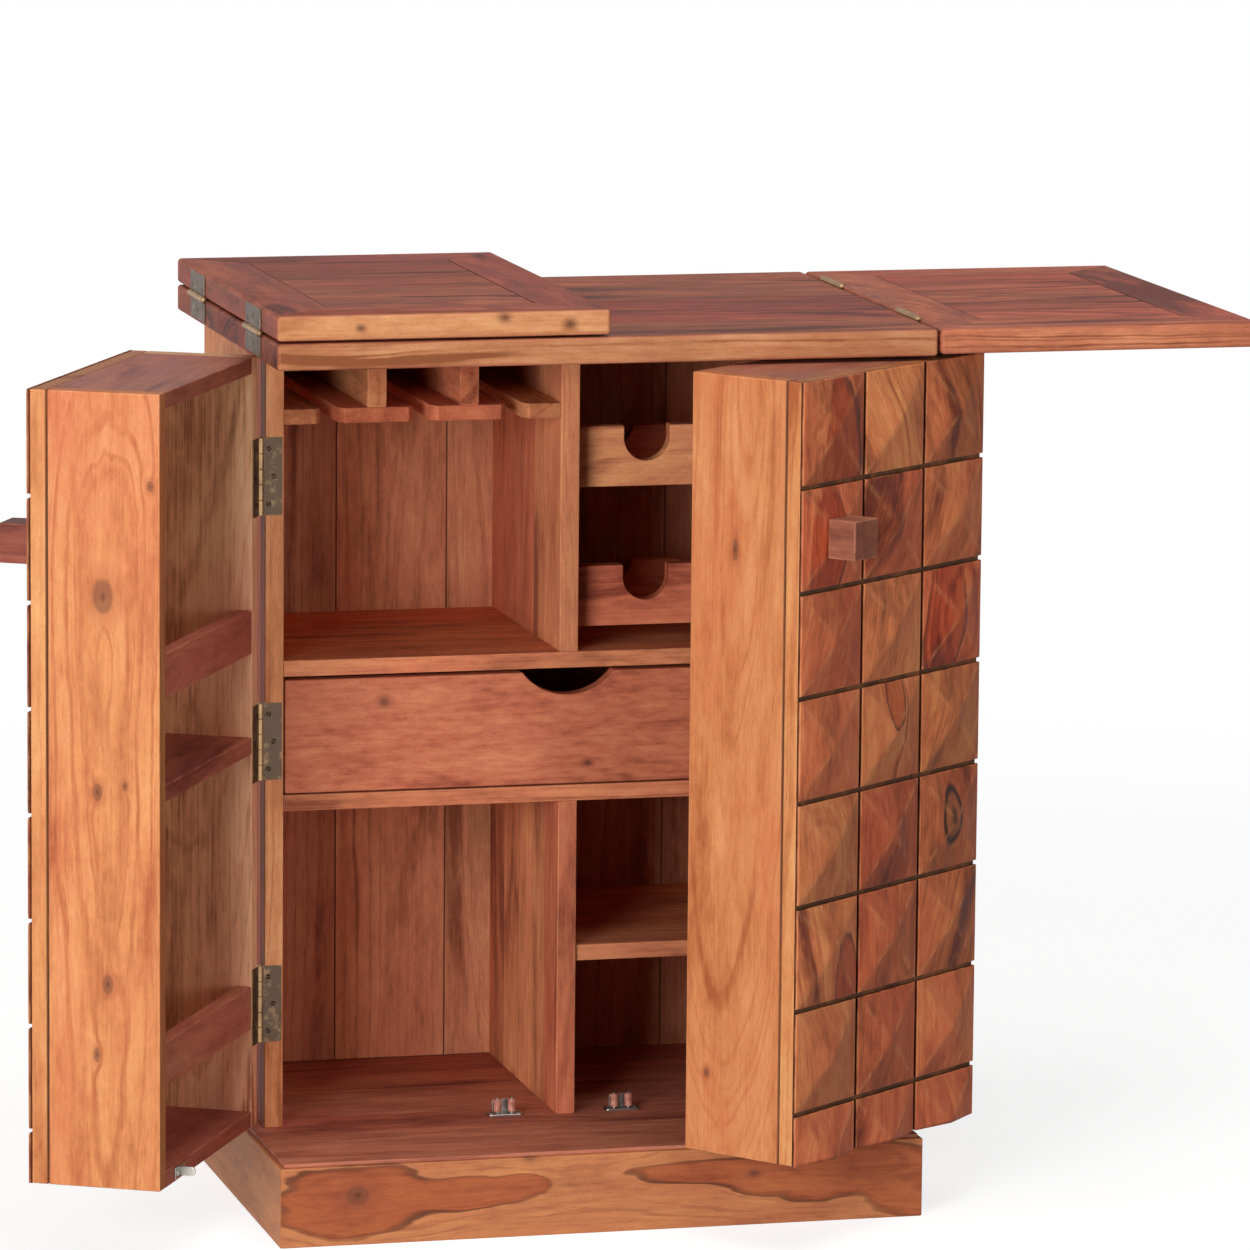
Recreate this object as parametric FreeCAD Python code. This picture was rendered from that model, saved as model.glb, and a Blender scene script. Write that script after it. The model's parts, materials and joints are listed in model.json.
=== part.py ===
"""Bar cabinet with box doors, folding top leaves and one drawer, in millimetres.

The origin is on the floor under the middle of the plinth: +X to the right, +Y to the back, +Z up.
The pieces stand as they do at rest: left door wide open, right door half open, left leaf folded
on the counter top, right leaf unfolded, drawer shut.
"""
import FreeCAD
import Part

import os

from FreeCAD import Placement, Rotation, Vector

# Counter top and the two leaves that fold over it
TOP_WIDTH = 650.0
TOP_DEPTH = 492.0
TOP_THICKNESS = 26.0
TOP_SURFACE_HEIGHT = 875.0
TOP_SETBACK = 2.0
TOP_ROUNDING = 2.5
LEAF_THICKNESS = 24.5
LEAF_ROUNDING = 4.0
LEAF_FOLD_GAP = 2.0
LEAF_SEAM = 3.0
LEAF_CENTRE_GAP = 1.0
LEAF_FRAME_WIDTH = 60.0
LEAF_BOARDS = 5
LEAF_SHADOW_GAP = 0.8

# Plinth and cabinet floor
PLINTH_WIDTH = 642.0
PLINTH_DEPTH = 490.0
PLINTH_FRAME_HEIGHT = 78.0
PLINTH_BOARD = 19.0
FLOOR_THICKNESS = 18.0
FLOOR_LIP = 4.0
FLOOR_INSET = 4.0

# Carcass
CARCASS_WIDTH = 608.0
CARCASS_DEPTH = 300.0
CARCASS_SETBACK = 161.0
PANEL = 19.0
BACK_THICKNESS = 12.0
BACK_BOARDS = 5
SHELF_THICKNESS = 16.0
BAY_SHELF_THICKNESS = 16.0
BAY_SHELF_SETBACK = 4.0
EASED_EDGE = 0.8

# Shares of the height inside the carcass, and of the lower bay's height
LOWER_BAY_SHARE = 0.41
DRAWER_BAY_SHARE = 0.152
BAY_SHELF_SHARE = 0.4865

# Rack that hangs stemmed glasses by their feet, in the upper left bay
RACK_DROP = 58.0
SLAT_THICKNESS = 15.0
GLASS_SLOTS = 3
GLASS_SLOT = 16.5
HANGER_THICKNESS = 19.0
SLOT_MOUTH = 12.0

# Cradles for lying bottles, in the upper right bay
CRADLE_HEIGHT = 60.0
CRADLE_THICKNESS = 16.0
CRADLE_PITCH_SHARE = 0.454
CRADLE_LIFT = 20.0
CRADLE_SETBACK = 28.0
NOTCH_INSET = 75.0
NECK_NOTCH_RADIUS = 23.0
NECK_NOTCH_DEPTH = 35.0
REAR_CRADLE_HEIGHT = 45.0
REAR_CRADLE_DROP = 13.0
REAR_CRADLE_SETBACK = 40.0
BODY_NOTCH_RADIUS = 40.0
BODY_NOTCH_DEPTH = 30.0

# Drawer
DRAWER_SIDE_GAP = 1.5
DRAWER_RUNNING_GAP = 0.3
DRAWER_FRONT_GAP = 1.5
DRAWER_TOP_GAP = 3.5
DRAWER_FRONT = 18.0
DRAWER_LENGTH = 250.0
DRAWER_WALL = 12.0
DRAWER_WALL_DROP = 24.0
DRAWER_BOTTOM = 6.0
DRAWER_BOTTOM_LIFT = 8.0
PULL_CHORD = 92.0
PULL_DEPTH = 23.0

# Doors: open boxes with a carved front
DOOR_GAP = 2.1
DOOR_CENTRE_GAP = 3.0
DOOR_FLOOR_GAP = 6.0
DOOR_TOP_GAP = 4.0
DOOR_BOX_DEPTH = 110.7
DOOR_WALL = 18.0
DOOR_CAP = 16.0
DOOR_FRONT_PANEL = 16.5
DOOR_SHELF = 16.5
DOOR_RAIL_HEIGHT = 42.5
DOOR_RAIL_THICKNESS = 15.0
DOOR_RAIL_LIFT = 82.0
LEFT_DOOR_ANGLE = 119.1
RIGHT_DOOR_ANGLE = 39.0

# Heights of the doors' shelves and the pitch of their hinges, as shares of the doors' height
LEFT_SHELF_SHARE = 0.4888
RIGHT_SHELF_SHARE = 0.6209
DOOR_HINGE_SHARE = 0.3435

# Carved blocks: a grid of low pyramids, with the lowest row cut through its peaks
BLOCK_COLUMNS = 3
BLOCK_FULL_ROWS = 7
BLOCK_THICKNESS = 7.0
BLOCK_PEAK = 6.0
BLOCK_GROOVE = 4.5
KNOB_SIZE = 38.0
KNOB_REACH = 29.0
KNOB_SEAT = 3.0
KNOB_ROW = 1

# Butt hinges
KNUCKLES = 5
KNUCKLE_CLEARANCE = 0.3
PIN_CLEARANCE = 0.05
PIN_HEAD = 1.2
PIN_HEAD_RADIUS = 2.4
SCREW_RADIUS = 2.7
SCREW_CLEARANCE = 0.05
SCREW_SLOT_WIDTH = 0.7
SCREW_SLOT_DEPTH = 0.35
SCREW_SPREAD = 27.0
SCREW_ROW_NEAR = 8.6
SCREW_ROW_FAR = 13.6
DOOR_HINGE_LENGTH = 76.0
DOOR_HINGE_WIDTH = 22.0
DOOR_HINGE_PLATE = 0.9
DOOR_HINGE_OFFSET = 4.8
DOOR_KNUCKLE_RADIUS = 3.5
DOOR_PIN_RADIUS = 1.6
LEAF_HINGE_LENGTH = 70.0
LEAF_HINGE_WIDTH = 23.0
LEAF_HINGE_PLATE = 1.1
LEAF_HINGE_INSET = 110.0
LEAF_KNUCKLE_RADIUS = 3.2
LEAF_PIN_RADIUS = 1.4
LEAF_KNUCKLE_NOTCH = 0.8

# Double roller catches on the cabinet floor and their strikes on the doors
CATCH_SETBACK = 9.0
STRIKE_INSET = 58.0
CATCH_PLATE_LENGTH = 36.0
CATCH_PLATE_WIDTH = 16.0
CATCH_PLATE = 2.0
ROLLER_RADIUS = 4.0
ROLLER_HEIGHT = 13.0
ROLLER_LIFT = 1.0
ROLLER_CLEARANCE = 2.0
ROLLER_PIN_RADIUS = 1.5
STRIKE_WIDTH = 30.0
STRIKE_HEIGHT = 12.0
STRIKE_PLATE = 1.5
TONGUE_THICKNESS = 2.4
TONGUE_HEIGHT = 9.0
TONGUE_OVERRUN = 5.0

# Planes and heights that several pieces share
FRONT_Y = -PLINTH_DEPTH / 2 + CARCASS_SETBACK
BACK_Y = FRONT_Y + CARCASS_DEPTH
INNER_BACK_Y = BACK_Y - BACK_THICKNESS
OUTER_X = CARCASS_WIDTH / 2
INNER_X = OUTER_X - PANEL
FLOOR_Z = PLINTH_FRAME_HEIGHT + FLOOR_LIP
UNDER_TOP_Z = TOP_SURFACE_HEIGHT - TOP_THICKNESS
TOP_FRONT_Y = -PLINTH_DEPTH / 2 + TOP_SETBACK
TOP_BACK_Y = TOP_FRONT_Y + TOP_DEPTH
INSIDE_HEIGHT = UNDER_TOP_Z - FLOOR_Z
LOWER_BAY_HEIGHT = LOWER_BAY_SHARE * INSIDE_HEIGHT
DRAWER_BAY_HEIGHT = DRAWER_BAY_SHARE * INSIDE_HEIGHT
LOWER_SHELF_Z = FLOOR_Z + LOWER_BAY_HEIGHT
DRAWER_BAY_Z = LOWER_SHELF_Z + SHELF_THICKNESS
UPPER_SHELF_Z = DRAWER_BAY_Z + DRAWER_BAY_HEIGHT
UPPER_BAY_Z = UPPER_SHELF_Z + SHELF_THICKNESS
UPPER_BAY_HEIGHT = UNDER_TOP_Z - UPPER_BAY_Z
DIVIDER_X = PANEL / 2
BAY_WIDTH = INNER_X - DIVIDER_X

DOOR_WIDTH = OUTER_X - DOOR_CENTRE_GAP / 2
DOOR_BACK_Y = FRONT_Y - DOOR_GAP
DOOR_BOTTOM_Z = FLOOR_Z + DOOR_FLOOR_GAP
DOOR_TOP_Z = UNDER_TOP_Z - DOOR_TOP_GAP
DOOR_HEIGHT = DOOR_TOP_Z - DOOR_BOTTOM_Z
DOOR_FLOOR_Z = DOOR_BOTTOM_Z + DOOR_CAP
DOOR_MIDDLE_Z = (DOOR_BOTTOM_Z + DOOR_TOP_Z) / 2
BLOCK_BASE = DOOR_BOX_DEPTH + DOOR_FRONT_PANEL
BLOCK_FACE = BLOCK_BASE + BLOCK_THICKNESS
BLOCK_WIDTH = DOOR_WIDTH / BLOCK_COLUMNS
BLOCK_HEIGHT = DOOR_HEIGHT / (BLOCK_FULL_ROWS + 0.5)

HINGE_X = OUTER_X + DOOR_HINGE_OFFSET
HINGE_Y = FRONT_Y - DOOR_GAP / 2
LEAF_WIDTH = (TOP_WIDTH - LEAF_CENTRE_GAP) / 2
LEAF_HINGE_X = (TOP_WIDTH + LEAF_SEAM) / 2
LEAF_HINGE_Z = TOP_SURFACE_HEIGHT + LEAF_FOLD_GAP / 2

X_AXIS = Vector(1, 0, 0)
Y_AXIS = Vector(0, 1, 0)
Z_AXIS = Vector(0, 0, 1)
LEFT = -1
RIGHT = 1
SIDE_NAMES = {LEFT: "left", RIGHT: "right"}

FIXED_KNUCKLES = range(0, KNUCKLES, 2)
MOVING_KNUCKLES = range(1, KNUCKLES, 2)


def about(middle, size):
    """The two ends of a span about its middle."""
    return middle - size / 2, middle + size / 2


def box(x, y, z):
    """A box between two values on each axis, given in either order."""
    low = Vector(min(x), min(y), min(z))
    high = Vector(max(x), max(y), max(z))
    size = high - low
    return Part.makeBox(size.x, size.y, size.z, low)


def board(x, y, z):
    """A wooden board with eased edges."""
    plain = box(x, y, z)
    return plain.makeChamfer(EASED_EDGE, plain.Edges)


def prism(points, low, high):
    """An upright prism over a plan outline of (x, y) points."""
    outline = [Vector(x, y, low) for x, y in points]
    face = Part.Face(Part.makePolygon(outline + outline[:1]))
    return face.extrude(Vector(0, 0, high - low))


def slotted_disc(radius, thickness):
    """A flush screw head on the XZ plane, its slotted face towards -Y."""
    disc = Part.makeCylinder(radius, thickness, Vector(), Y_AXIS)
    slot = box((-radius, radius), (0, SCREW_SLOT_DEPTH), (-SCREW_SLOT_WIDTH / 2, SCREW_SLOT_WIDTH / 2))
    return disc.cut(slot)


# Plinth


def plinth():
    x = PLINTH_WIDTH / 2
    y = PLINTH_DEPTH / 2
    t = PLINTH_BOARD
    top = PLINTH_FRAME_HEIGHT
    floor_x = x - FLOOR_INSET
    floor_y = y - FLOOR_INSET
    floor_low = FLOOR_Z - FLOOR_THICKNESS
    upper = board((-floor_x, floor_x), (-floor_y, floor_y), (top, FLOOR_Z))
    lower = box((t - x, x - t), (t - y, y - t), (floor_low, top + EASED_EDGE))
    return {
        "plinth_front": prism([(-x, -y), (x, -y), (x - t, t - y), (t - x, t - y)], 0, top),
        "plinth_back": prism([(-x, y), (x, y), (x - t, y - t), (t - x, y - t)], 0, top),
        "plinth_left": prism([(-x, -y), (t - x, t - y), (t - x, y - t), (-x, y)], 0, top),
        "plinth_right": prism([(x, -y), (x - t, t - y), (x - t, y - t), (x, y)], 0, top),
        "plinth_bearer": box((-t / 2, t / 2), (t - y, y - t), (0, floor_low)),
        "floor_board": upper.fuse(lower).removeSplitter(),
    }


# Carcass


def back_boards():
    width = 2 * INNER_X / BACK_BOARDS
    boards = []
    for i in range(BACK_BOARDS):
        left = -INNER_X + i * width
        boards.append(board((left, left + width), (INNER_BACK_Y, BACK_Y), (FLOOR_Z, UNDER_TOP_Z)))
    return boards


def counter_top():
    x = TOP_WIDTH / 2
    top = box((-x, x), (TOP_FRONT_Y, TOP_BACK_Y), (UNDER_TOP_Z, TOP_SURFACE_HEIGHT))
    top = top.makeFillet(TOP_ROUNDING, top.Edges)
    for side in (LEFT, RIGHT):
        for notch in knuckle_notches(side):
            top = top.cut(notch)
    return top


def carcass():
    depth = (FRONT_Y, INNER_BACK_Y)
    between = (-INNER_X, INNER_X)
    middle = (-DIVIDER_X, DIVIDER_X)
    bay_shelf_z = FLOOR_Z + BAY_SHELF_SHARE * LOWER_BAY_HEIGHT
    pieces = {
        "back_boards": back_boards(),
        "counter_top": counter_top(),
        "upper_divider": board(middle, depth, (UPPER_BAY_Z, UNDER_TOP_Z)),
        "lower_divider": board(middle, depth, (FLOOR_Z, LOWER_SHELF_Z)),
        "upper_shelf": board(between, depth, (UPPER_SHELF_Z, UPPER_BAY_Z)),
        "lower_shelf": board(between, depth, (LOWER_SHELF_Z, DRAWER_BAY_Z)),
        "bay_shelf": board(
            (DIVIDER_X, INNER_X),
            (FRONT_Y + BAY_SHELF_SETBACK, INNER_BACK_Y),
            (bay_shelf_z, bay_shelf_z + BAY_SHELF_THICKNESS),
        ),
    }
    for side in (LEFT, RIGHT):
        width = (side * INNER_X, side * OUTER_X)
        pieces[SIDE_NAMES[side] + "_side"] = board(width, (FRONT_Y, BACK_Y), (FLOOR_Z, UNDER_TOP_Z))
    return pieces


# Stemware rack


def slat(left, right, slot_left, slot_right):
    """A slat from front to back; its front corners are cut away beside a slot to widen the slot's mouth."""
    start_left = left + SLOT_MOUTH / 2 if slot_left else left
    start_right = right - SLOT_MOUTH / 2 if slot_right else right
    outline = [(start_left, FRONT_Y), (start_right, FRONT_Y)]
    if slot_right:
        outline.append((right, FRONT_Y + SLOT_MOUTH))
    outline += [(right, INNER_BACK_Y), (left, INNER_BACK_Y)]
    if slot_left:
        outline.append((left, FRONT_Y + SLOT_MOUTH))
    top = UNDER_TOP_Z - RACK_DROP
    return prism(outline, top - SLAT_THICKNESS, top)


def stemware_rack():
    left = -INNER_X
    pitch = BAY_WIDTH / GLASS_SLOTS
    hanger_z = (UNDER_TOP_Z - RACK_DROP, UNDER_TOP_Z)
    slot = GLASS_SLOT / 2
    middles = [left + (i + 0.5) * pitch for i in range(GLASS_SLOTS)]
    slats = [slat(left, middles[0] - slot, False, True)]
    hangers = []
    for i in range(GLASS_SLOTS - 1):
        slats.append(slat(middles[i] + slot, middles[i + 1] - slot, True, True))
        width = about(left + (i + 1) * pitch, HANGER_THICKNESS)
        hangers.append(board(width, (FRONT_Y, INNER_BACK_Y), hanger_z))
    slats.append(slat(middles[-1] + slot, -DIVIDER_X, True, False))
    return {"rack_slats": slats, "rack_hangers": hangers}


# Bottle cradles


def cradle(front, low, height, radius, depth):
    """A board across the right bay with two round-bottomed notches in its top edge."""
    top = low + height
    back = front + CRADLE_THICKNESS
    shape = box((DIVIDER_X, INNER_X), (front, back), (low, top))
    centre_z = top - depth + radius
    for x in (DIVIDER_X + NOTCH_INSET, INNER_X - NOTCH_INSET):
        cut = Part.makeCylinder(radius, CRADLE_THICKNESS, Vector(x, front, centre_z), Y_AXIS)
        if centre_z < top:
            cut = cut.fuse(box((x - radius, x + radius), (front, back), (centre_z, top)))
        shape = shape.cut(cut)
    return shape.removeSplitter()


def bottle_cradles():
    front_y = FRONT_Y + CRADLE_SETBACK
    rear_y = INNER_BACK_Y - REAR_CRADLE_SETBACK - CRADLE_THICKNESS
    fronts = []
    rears = []
    for level in (0, 1):
        low = UPPER_BAY_Z + CRADLE_LIFT + level * CRADLE_PITCH_SHARE * UPPER_BAY_HEIGHT
        rear_low = low - REAR_CRADLE_DROP
        fronts.append(cradle(front_y, low, CRADLE_HEIGHT, NECK_NOTCH_RADIUS, NECK_NOTCH_DEPTH))
        rears.append(cradle(rear_y, rear_low, REAR_CRADLE_HEIGHT, BODY_NOTCH_RADIUS, BODY_NOTCH_DEPTH))
    return {"front_cradles": fronts, "rear_cradles": rears}


# Drawer


def drawer():
    x = INNER_X - DRAWER_SIDE_GAP
    inner_y = FRONT_Y + DRAWER_FRONT
    end_y = inner_y + DRAWER_LENGTH
    low = DRAWER_BAY_Z + DRAWER_RUNNING_GAP
    wall_z = (low, UPPER_SHELF_Z - DRAWER_WALL_DROP)
    front_z = (DRAWER_BAY_Z + DRAWER_FRONT_GAP, UPPER_SHELF_Z - DRAWER_TOP_GAP)
    inside = (DRAWER_WALL - x, x - DRAWER_WALL)
    radius = ((PULL_CHORD / 2) ** 2 + PULL_DEPTH**2) / (2 * PULL_DEPTH)
    pull_z = front_z[1] - PULL_DEPTH + radius
    pull = Part.makeCylinder(radius, DRAWER_FRONT, Vector(0, FRONT_Y, pull_z), Y_AXIS)
    bottom_z = low + DRAWER_BOTTOM_LIFT
    return {
        "drawer_front": board((-x, x), (FRONT_Y, inner_y), front_z).cut(pull),
        "drawer_sides": [
            board((side * x, side * (x - DRAWER_WALL)), (inner_y, end_y), wall_z) for side in (LEFT, RIGHT)
        ],
        "drawer_back": board(inside, (end_y - DRAWER_WALL, end_y), wall_z),
        "drawer_bottom": box(inside, (inner_y, end_y - DRAWER_WALL), (bottom_z, bottom_z + DRAWER_BOTTOM)),
    }


# Butt hinges, drawn about the local Z axis with the plate along +X


def knuckle_height(length):
    return length / KNUCKLES - KNUCKLE_CLEARANCE


def screw_places(length):
    """Three screws in a shallow zigzag, as (across, along) places on a hinge plate."""
    along = SCREW_SPREAD * length / DOOR_HINGE_LENGTH
    return [(SCREW_ROW_NEAR, -along), (SCREW_ROW_FAR, 0.0), (SCREW_ROW_NEAR, along)]


def hinge_leaf(length, width, plate, offset, knuckle_radius, pin_radius, knuckles):
    """One hinge leaf and its flush screws, on the +Y side of the axis."""
    reach = knuckle_radius + KNUCKLE_CLEARANCE
    thickness = (offset, offset + plate)
    leaf = box((reach, width), thickness, (-length / 2, length / 2))
    height = knuckle_height(length)
    for k in knuckles:
        low = -length / 2 + k * length / KNUCKLES + KNUCKLE_CLEARANCE / 2
        leaf = leaf.fuse(Part.makeCylinder(knuckle_radius, height, Vector(0, 0, low)))
        leaf = leaf.fuse(box((0, reach), thickness, (low, low + height)))
    leaf = leaf.cut(Part.makeCylinder(pin_radius + PIN_CLEARANCE, length, Vector(0, 0, -length / 2)))
    screws = []
    for across, along in screw_places(length):
        place = Vector(across, offset, along)
        leaf = leaf.cut(Part.makeCylinder(SCREW_RADIUS + SCREW_CLEARANCE, plate, place, Y_AXIS))
        screw = slotted_disc(SCREW_RADIUS, plate)
        screw.translate(place)
        screws.append(screw)
    return [leaf.removeSplitter()], screws


def hinge_pin(length, pin_radius):
    """A hinge pin with a small head at each end."""
    pin = Part.makeCylinder(pin_radius, length, Vector(0, 0, -length / 2))
    for end in (-1, 1):
        tip = Part.makeCylinder(PIN_HEAD_RADIUS, PIN_HEAD, Vector(0, 0, end * length / 2), Z_AXIS * end)
        pin = pin.fuse(tip)
    return pin.removeSplitter()


def flipped(shapes):
    """The same shapes on the other side of the hinge, turned half round about the plate's direction."""
    return [shape.rotated(Vector(), X_AXIS, 180) for shape in shapes]


def placed(shapes, origin, x_direction, y_direction):
    """The shapes with their local X and Y along two directions of the cabinet."""
    turn = Rotation(x_direction, y_direction, x_direction.cross(y_direction), "XYZ")
    return [shape.transformed(Placement(origin, turn).toMatrix()) for shape in shapes]


def door_hinge(side, moving):
    """The leaves and screws of one door's three hinges, with the door shut."""
    offset = DOOR_GAP / 2 - DOOR_HINGE_PLATE
    knuckles = MOVING_KNUCKLES if moving else FIXED_KNUCKLES
    leaf, screws = hinge_leaf(
        DOOR_HINGE_LENGTH,
        DOOR_HINGE_WIDTH,
        DOOR_HINGE_PLATE,
        offset,
        DOOR_KNUCKLE_RADIUS,
        DOOR_PIN_RADIUS,
        knuckles,
    )
    if moving:
        leaf = flipped(leaf)
        screws = flipped(screws)
    leaves = []
    heads = []
    for origin in door_hinge_places(side):
        leaves += placed(leaf, origin, X_AXIS * -side, Y_AXIS)
        heads += placed(screws, origin, X_AXIS * -side, Y_AXIS)
    return leaves, heads


def door_hinge_places(side):
    pitch = DOOR_HINGE_SHARE * DOOR_HEIGHT
    return [Vector(side * HINGE_X, HINGE_Y, DOOR_MIDDLE_Z + i * pitch) for i in (-1, 0, 1)]


def leaf_hinge(side, moving):
    """The leaves and screws of one folding leaf's two hinges, with the leaf unfolded."""
    offset = LEAF_SEAM / 2 - LEAF_HINGE_PLATE
    knuckles = MOVING_KNUCKLES if moving else FIXED_KNUCKLES
    leaf, screws = hinge_leaf(
        LEAF_HINGE_LENGTH,
        LEAF_HINGE_WIDTH,
        LEAF_HINGE_PLATE,
        offset,
        LEAF_KNUCKLE_RADIUS,
        LEAF_PIN_RADIUS,
        knuckles,
    )
    if moving:
        leaf = flipped(leaf)
        screws = flipped(screws)
    leaves = []
    heads = []
    for origin in leaf_hinge_places(side):
        leaves += placed(leaf, origin, Z_AXIS * -1, X_AXIS * -side)
        heads += placed(screws, origin, Z_AXIS * -1, X_AXIS * -side)
    return leaves, heads


def leaf_hinge_places(side):
    ends = (TOP_FRONT_Y + LEAF_HINGE_INSET, TOP_BACK_Y - LEAF_HINGE_INSET)
    return [Vector(side * LEAF_HINGE_X, y, LEAF_HINGE_Z) for y in ends]


def knuckle_notches(side):
    """Round notches that let the leaf hinges' knuckles into the edges of the boards."""
    length = LEAF_HINGE_LENGTH + 2 * (PIN_HEAD + LEAF_KNUCKLE_NOTCH)
    radius = LEAF_KNUCKLE_RADIUS + LEAF_KNUCKLE_NOTCH
    notches = []
    for place in leaf_hinge_places(side):
        start = place - Y_AXIS * (length / 2)
        notches.append(Part.makeCylinder(radius, length, start, Y_AXIS))
    return notches


def fixed_hinges():
    """What stays with the cabinet: hinge leaves on the stiles and on the counter's ends, pins, screws."""
    door_pin = hinge_pin(DOOR_HINGE_LENGTH, DOOR_PIN_RADIUS)
    leaf_pin = hinge_pin(LEAF_HINGE_LENGTH, LEAF_PIN_RADIUS)
    stile_leaves = []
    top_leaves = []
    door_pins = []
    leaf_pins = []
    screws = []
    for side in (LEFT, RIGHT):
        leaves, heads = door_hinge(side, moving=False)
        stile_leaves += leaves
        screws += heads
        leaves, heads = leaf_hinge(side, moving=False)
        top_leaves += leaves
        screws += heads
        for origin in door_hinge_places(side):
            door_pins += placed([door_pin], origin, X_AXIS, Y_AXIS)
        for origin in leaf_hinge_places(side):
            leaf_pins += placed([leaf_pin], origin, X_AXIS, Z_AXIS)
    return {
        "stile_hinge_leaves": stile_leaves,
        "top_hinge_leaves": top_leaves,
        "door_hinge_pins": door_pins,
        "leaf_hinge_pins": leaf_pins,
        "cabinet_hinge_screws": screws,
    }


# Folding leaves


def leaf_frame_and_boards(side):
    """A mitred frame round a flush panel of boards that run across the leaf, unfolded."""
    near = TOP_WIDTH / 2 + LEAF_SEAM
    far = near + LEAF_WIDTH
    low = TOP_SURFACE_HEIGHT - LEAF_THICKNESS
    high = TOP_SURFACE_HEIGHT
    blank = box((side * near, side * far), (TOP_FRONT_Y, TOP_BACK_Y), (low, high))
    blank = blank.makeFillet(LEAF_ROUNDING, blank.Edges)
    for notch in knuckle_notches(side):
        blank = blank.cut(notch)
    x0, x1 = sorted((side * near, side * far))
    y0, y1 = TOP_FRONT_Y, TOP_BACK_Y
    f = LEAF_FRAME_WIDTH
    inner_x = (x0 + f, x1 - f)
    inner_y = (y0 + f, y1 - f)
    outlines = [
        [(x0, y0), (x1, y0), (inner_x[1], inner_y[0]), (inner_x[0], inner_y[0])],
        [(x0, y1), (x1, y1), (inner_x[1], inner_y[1]), (inner_x[0], inner_y[1])],
        [(x0, y0), (inner_x[0], inner_y[0]), (inner_x[0], inner_y[1]), (x0, y1)],
        [(x1, y0), (inner_x[1], inner_y[0]), (inner_x[1], inner_y[1]), (x1, y1)],
    ]
    frame = [blank.common(prism(outline, low, high)) for outline in outlines]
    width = (inner_y[1] - inner_y[0]) / LEAF_BOARDS
    across = (inner_x[0] + LEAF_SHADOW_GAP, inner_x[1] - LEAF_SHADOW_GAP)
    boards = []
    for i in range(LEAF_BOARDS):
        start = inner_y[0] + i * width
        boards.append(board(across, (start, start + width), (low, high)))
    return frame, boards


def folding_leaf(side, folded):
    frame, boards = leaf_frame_and_boards(side)
    leaves, screws = leaf_hinge(side, moving=True)
    turn = 180 if folded else 0
    axis = Vector(side * LEAF_HINGE_X, 0, LEAF_HINGE_Z)
    name = SIDE_NAMES[side] + "_leaf_"
    pieces = {"frame": frame, "boards": boards, "hinges": leaves + screws}
    return {
        name + key: [shape.rotated(axis, Y_AXIS, turn) for shape in shapes] for key, shapes in pieces.items()
    }


# Doors, drawn shut: u runs from the hinge side to the free edge, n from the back plane to the front


def door_point(side, u, n, z):
    return Vector(side * (OUTER_X - u), DOOR_BACK_Y - n, z)


def door_spans(side, u, n, z):
    """Cabinet coordinates of a box that is given in the door's own u, n and z."""
    return [side * (OUTER_X - v) for v in u], [DOOR_BACK_Y - v for v in n], z


def carved_block(side, u, z, peak_z):
    """A block with a low pyramid on its face; peak_z is the height of the pyramid's tip."""
    peak = door_point(side, sum(u) / 2, BLOCK_FACE + BLOCK_PEAK, peak_z)
    corners = [(u[0], z[0]), (u[1], z[0]), (u[1], z[1]), (u[0], z[1])]
    base = [door_point(side, cu, BLOCK_BASE, cz) for cu, cz in corners]
    face = [door_point(side, cu, BLOCK_FACE, cz) for cu, cz in corners]
    cut_through_peak = peak_z == z[0]
    outlines = [base]
    for i in range(4):
        j = (i + 1) % 4
        wall = [base[i], base[j], face[j], face[i]]
        if i == 0 and cut_through_peak:
            wall = [base[i], base[j], face[j], peak, face[i]]
        else:
            outlines.append([face[i], face[j], peak])
        outlines.append(wall)
    faces = [Part.Face(Part.makePolygon(points + points[:1])) for points in outlines]
    solid = Part.Solid(Part.Shell(faces))
    if solid.Volume < 0:
        solid.reverse()
    return solid


def carved_blocks(side):
    """Rows of blocks from the top down, the last one half a block high, keyed by row and column."""
    half_groove = BLOCK_GROOVE / 2
    blocks = {}
    for row in range(BLOCK_FULL_ROWS + 1):
        high = DOOR_TOP_Z - row * BLOCK_HEIGHT
        low = max(high - BLOCK_HEIGHT, DOOR_BOTTOM_Z)
        is_half = row == BLOCK_FULL_ROWS
        upper = high if row == 0 else high - half_groove
        lower = low if is_half else low + half_groove
        peak_z = lower if is_half else (high + low) / 2
        for column in range(BLOCK_COLUMNS):
            start = column * BLOCK_WIDTH
            end = start + BLOCK_WIDTH
            u0 = start if column == 0 else start + half_groove
            u1 = end if column == BLOCK_COLUMNS - 1 else end - half_groove
            blocks[row, column] = carved_block(side, (u0, u1), (lower, upper), peak_z)
    return blocks


def knob(side, block):
    """A square wooden knob whose back is scribed to the carved block behind it."""
    u = DOOR_WIDTH - BLOCK_WIDTH / 2
    z = DOOR_TOP_Z - (KNOB_ROW + 0.5) * BLOCK_HEIGHT
    reach = (BLOCK_FACE + KNOB_SEAT, BLOCK_FACE + BLOCK_PEAK + KNOB_REACH)
    spans = door_spans(side, about(u, KNOB_SIZE), reach, about(z, KNOB_SIZE))
    return board(*spans).cut(block)


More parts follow.
